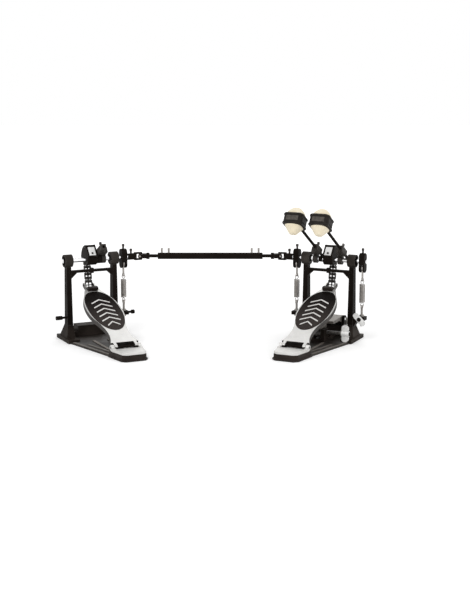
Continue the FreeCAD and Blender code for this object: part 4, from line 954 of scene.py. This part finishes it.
def cam_finish(middle, size):
    """The cam's body is black; its face plate is bare, with a dark screw."""
    if size.z > CAM_BODY_TALL:
        return "black_paint"
    return "bare_plate" if size.x > CAM_PLATE_WIDE else "dark_steel"


PEDAL_DRESS = {
    "base_plate": ("base_black", 0.0006),
    "frame": ("frame_black", 0.0012),
    "bearings": ("dark_steel", 0.0003),
    "heel_block": ("heel_rubber", 0.0012),
    "heel_plate": ("silver_cast", 0.0008),
    "tension_rods": ("steel", 0.0003),
    "fasteners": (fastener_finish, 0.0004),
    "footboard": ("board_silver", 0.0009),
    "cam": (cam_finish, 0.0005),
    "chain": ("dark_steel", 0),
    "cam_chain": ("dark_steel", 0),
    "shaft": ("chrome", 0.0003),
    "rocker": ("black_paint", 0.0008),
    "beater_holder": ("clamp_grey", 0.0008),
    "key_bolts": ("dark_steel", 0.0004),
    "yoke": ("black_paint", 0.0006),
    "spring_link": ("steel", 0.0003),
    "beater_rod": ("black_paint", 0.0004),
}
OTHER_DRESS = {
    "linkage_tube": ("black_paint", 0.0005),
    "linkage_bolts": ("steel", 0.0004),
    "linkage_left_rod": ("black_paint", 0.0005),
    "linkage_right_rod": ("black_paint", 0.0005),
    "second_cross": ("steel", 0.0004),
    "slave_cross": ("steel", 0.0004),
    "hoop_jaw": ("jaw_brown", 0.0015),
    "hoop_screw": ("screw_silver", 0.0006),
    "hoop_seat": ("heel_rubber", 0.0006),
}

for node in sorted(frame["nodes"]):
    kind = node.split("_", 1)[1]
    if node in OTHER_DRESS:
        dress(node, *OTHER_DRESS[node])
    elif kind in PEDAL_DRESS:
        dress(node, *PEDAL_DRESS[kind])

for name, pedal, way in SPRINGS:
    spring(name, pedal, way)
for name in BEATER_ACROSS:
    beater(name)
for pedal in ("main", "slave"):
    grip(pedal)
    toe_stop(pedal)
    edge_rails(pedal)
    cam_rim(pedal)
wing_caps()
for pedal, sleeve in SLEEVES.items():
    hub_sleeve(pedal, **sleeve)


# Studio: white floor and backdrop, soft lamps, camera at the photograph's angle
def white_rays(tree, low, high):
    """One strength for light that falls on the part, another for what the camera and mirrors see."""
    path = tree.nodes.new("ShaderNodeLightPath")
    seen = path.outputs["Is Camera Ray"]
    for other in ("Is Glossy Ray", "Is Transmission Ray"):
        seen = combine(tree, "MAXIMUM", seen, path.outputs[other])
    return map_range(tree, seen, (0, 1), (low, high))


def white_stage():
    """A pale floor that glows more with its distance, so that it runs into the white world."""
    material = bpy.data.materials.new("stage_white")
    material.use_nodes = True
    tree = material.node_tree
    surface = tree.nodes["Principled BSDF"]
    surface.inputs["Base Color"].default_value = FLOOR_COLOUR
    surface.inputs["Roughness"].default_value = FLOOR_ROUGHNESS
    surface.inputs["Specular IOR Level"].default_value = FLOOR_SPECULAR
    surface.inputs["Emission Color"].default_value = WHITE
    away = tree.nodes.new("ShaderNodeVectorMath")
    away.operation = "LENGTH"
    tree.links.new(tree.nodes.new("ShaderNodeNewGeometry").outputs["Position"], away.inputs[0])
    far = map_range(tree, away.outputs["Value"], FLOOR_FADE, FLOOR_GLOW)
    glow = combine(tree, "MULTIPLY", far, white_rays(tree, 0, 1))
    tree.links.new(glow, surface.inputs["Emission Strength"])
    return material


def aimed(item, place):
    """Put a lamp or the camera at a place, looking at the middle of the part."""
    item.location = place
    item.rotation_euler = (MIDDLE - Vector(place)).to_track_quat("-Z", "Y").to_euler()
    bpy.context.scene.collection.objects.link(item)


def lamp(name, place, size, power):
    light = bpy.data.lights.new(name, "AREA")
    light.shape = "RECTANGLE"
    light.size, light.size_y = size
    light.energy = power
    aimed(bpy.data.objects.new(name, light), place)


floor_mesh = bpy.data.meshes.new("floor")
floor_span = (-FLOOR_HALF, FLOOR_HALF)
floor_mesh.from_pydata(rectangle(floor_span, floor_span, 0), [], [(0, 1, 2, 3)])
floor_mesh.materials.append(white_stage())
floor = bpy.data.objects.new("floor", floor_mesh)
bpy.context.scene.collection.objects.link(floor)

world = bpy.data.worlds.new("studio")
bpy.context.scene.world = world
world.use_nodes = True
sky = world.node_tree.nodes["Background"]
sky.inputs["Color"].default_value = WHITE
world.node_tree.links.new(white_rays(world.node_tree, WORLD_LIGHT, 1), sky.inputs["Strength"])

for name, settings in LAMPS.items():
    lamp(name, **settings)

camera = bpy.data.cameras.new("camera")
camera.lens = FOCAL_LENGTH
camera.sensor_width = SENSOR_WIDTH
camera.shift_x, camera.shift_y = CAMERA_SHIFT
viewer = bpy.data.objects.new("camera", camera)
aimed(viewer, MIDDLE + DISTANCE * Vector((0, -math.cos(ELEVATION), math.sin(ELEVATION))))
bpy.context.scene.camera = viewer
bpy.context.scene.view_settings.view_transform = "Standard"
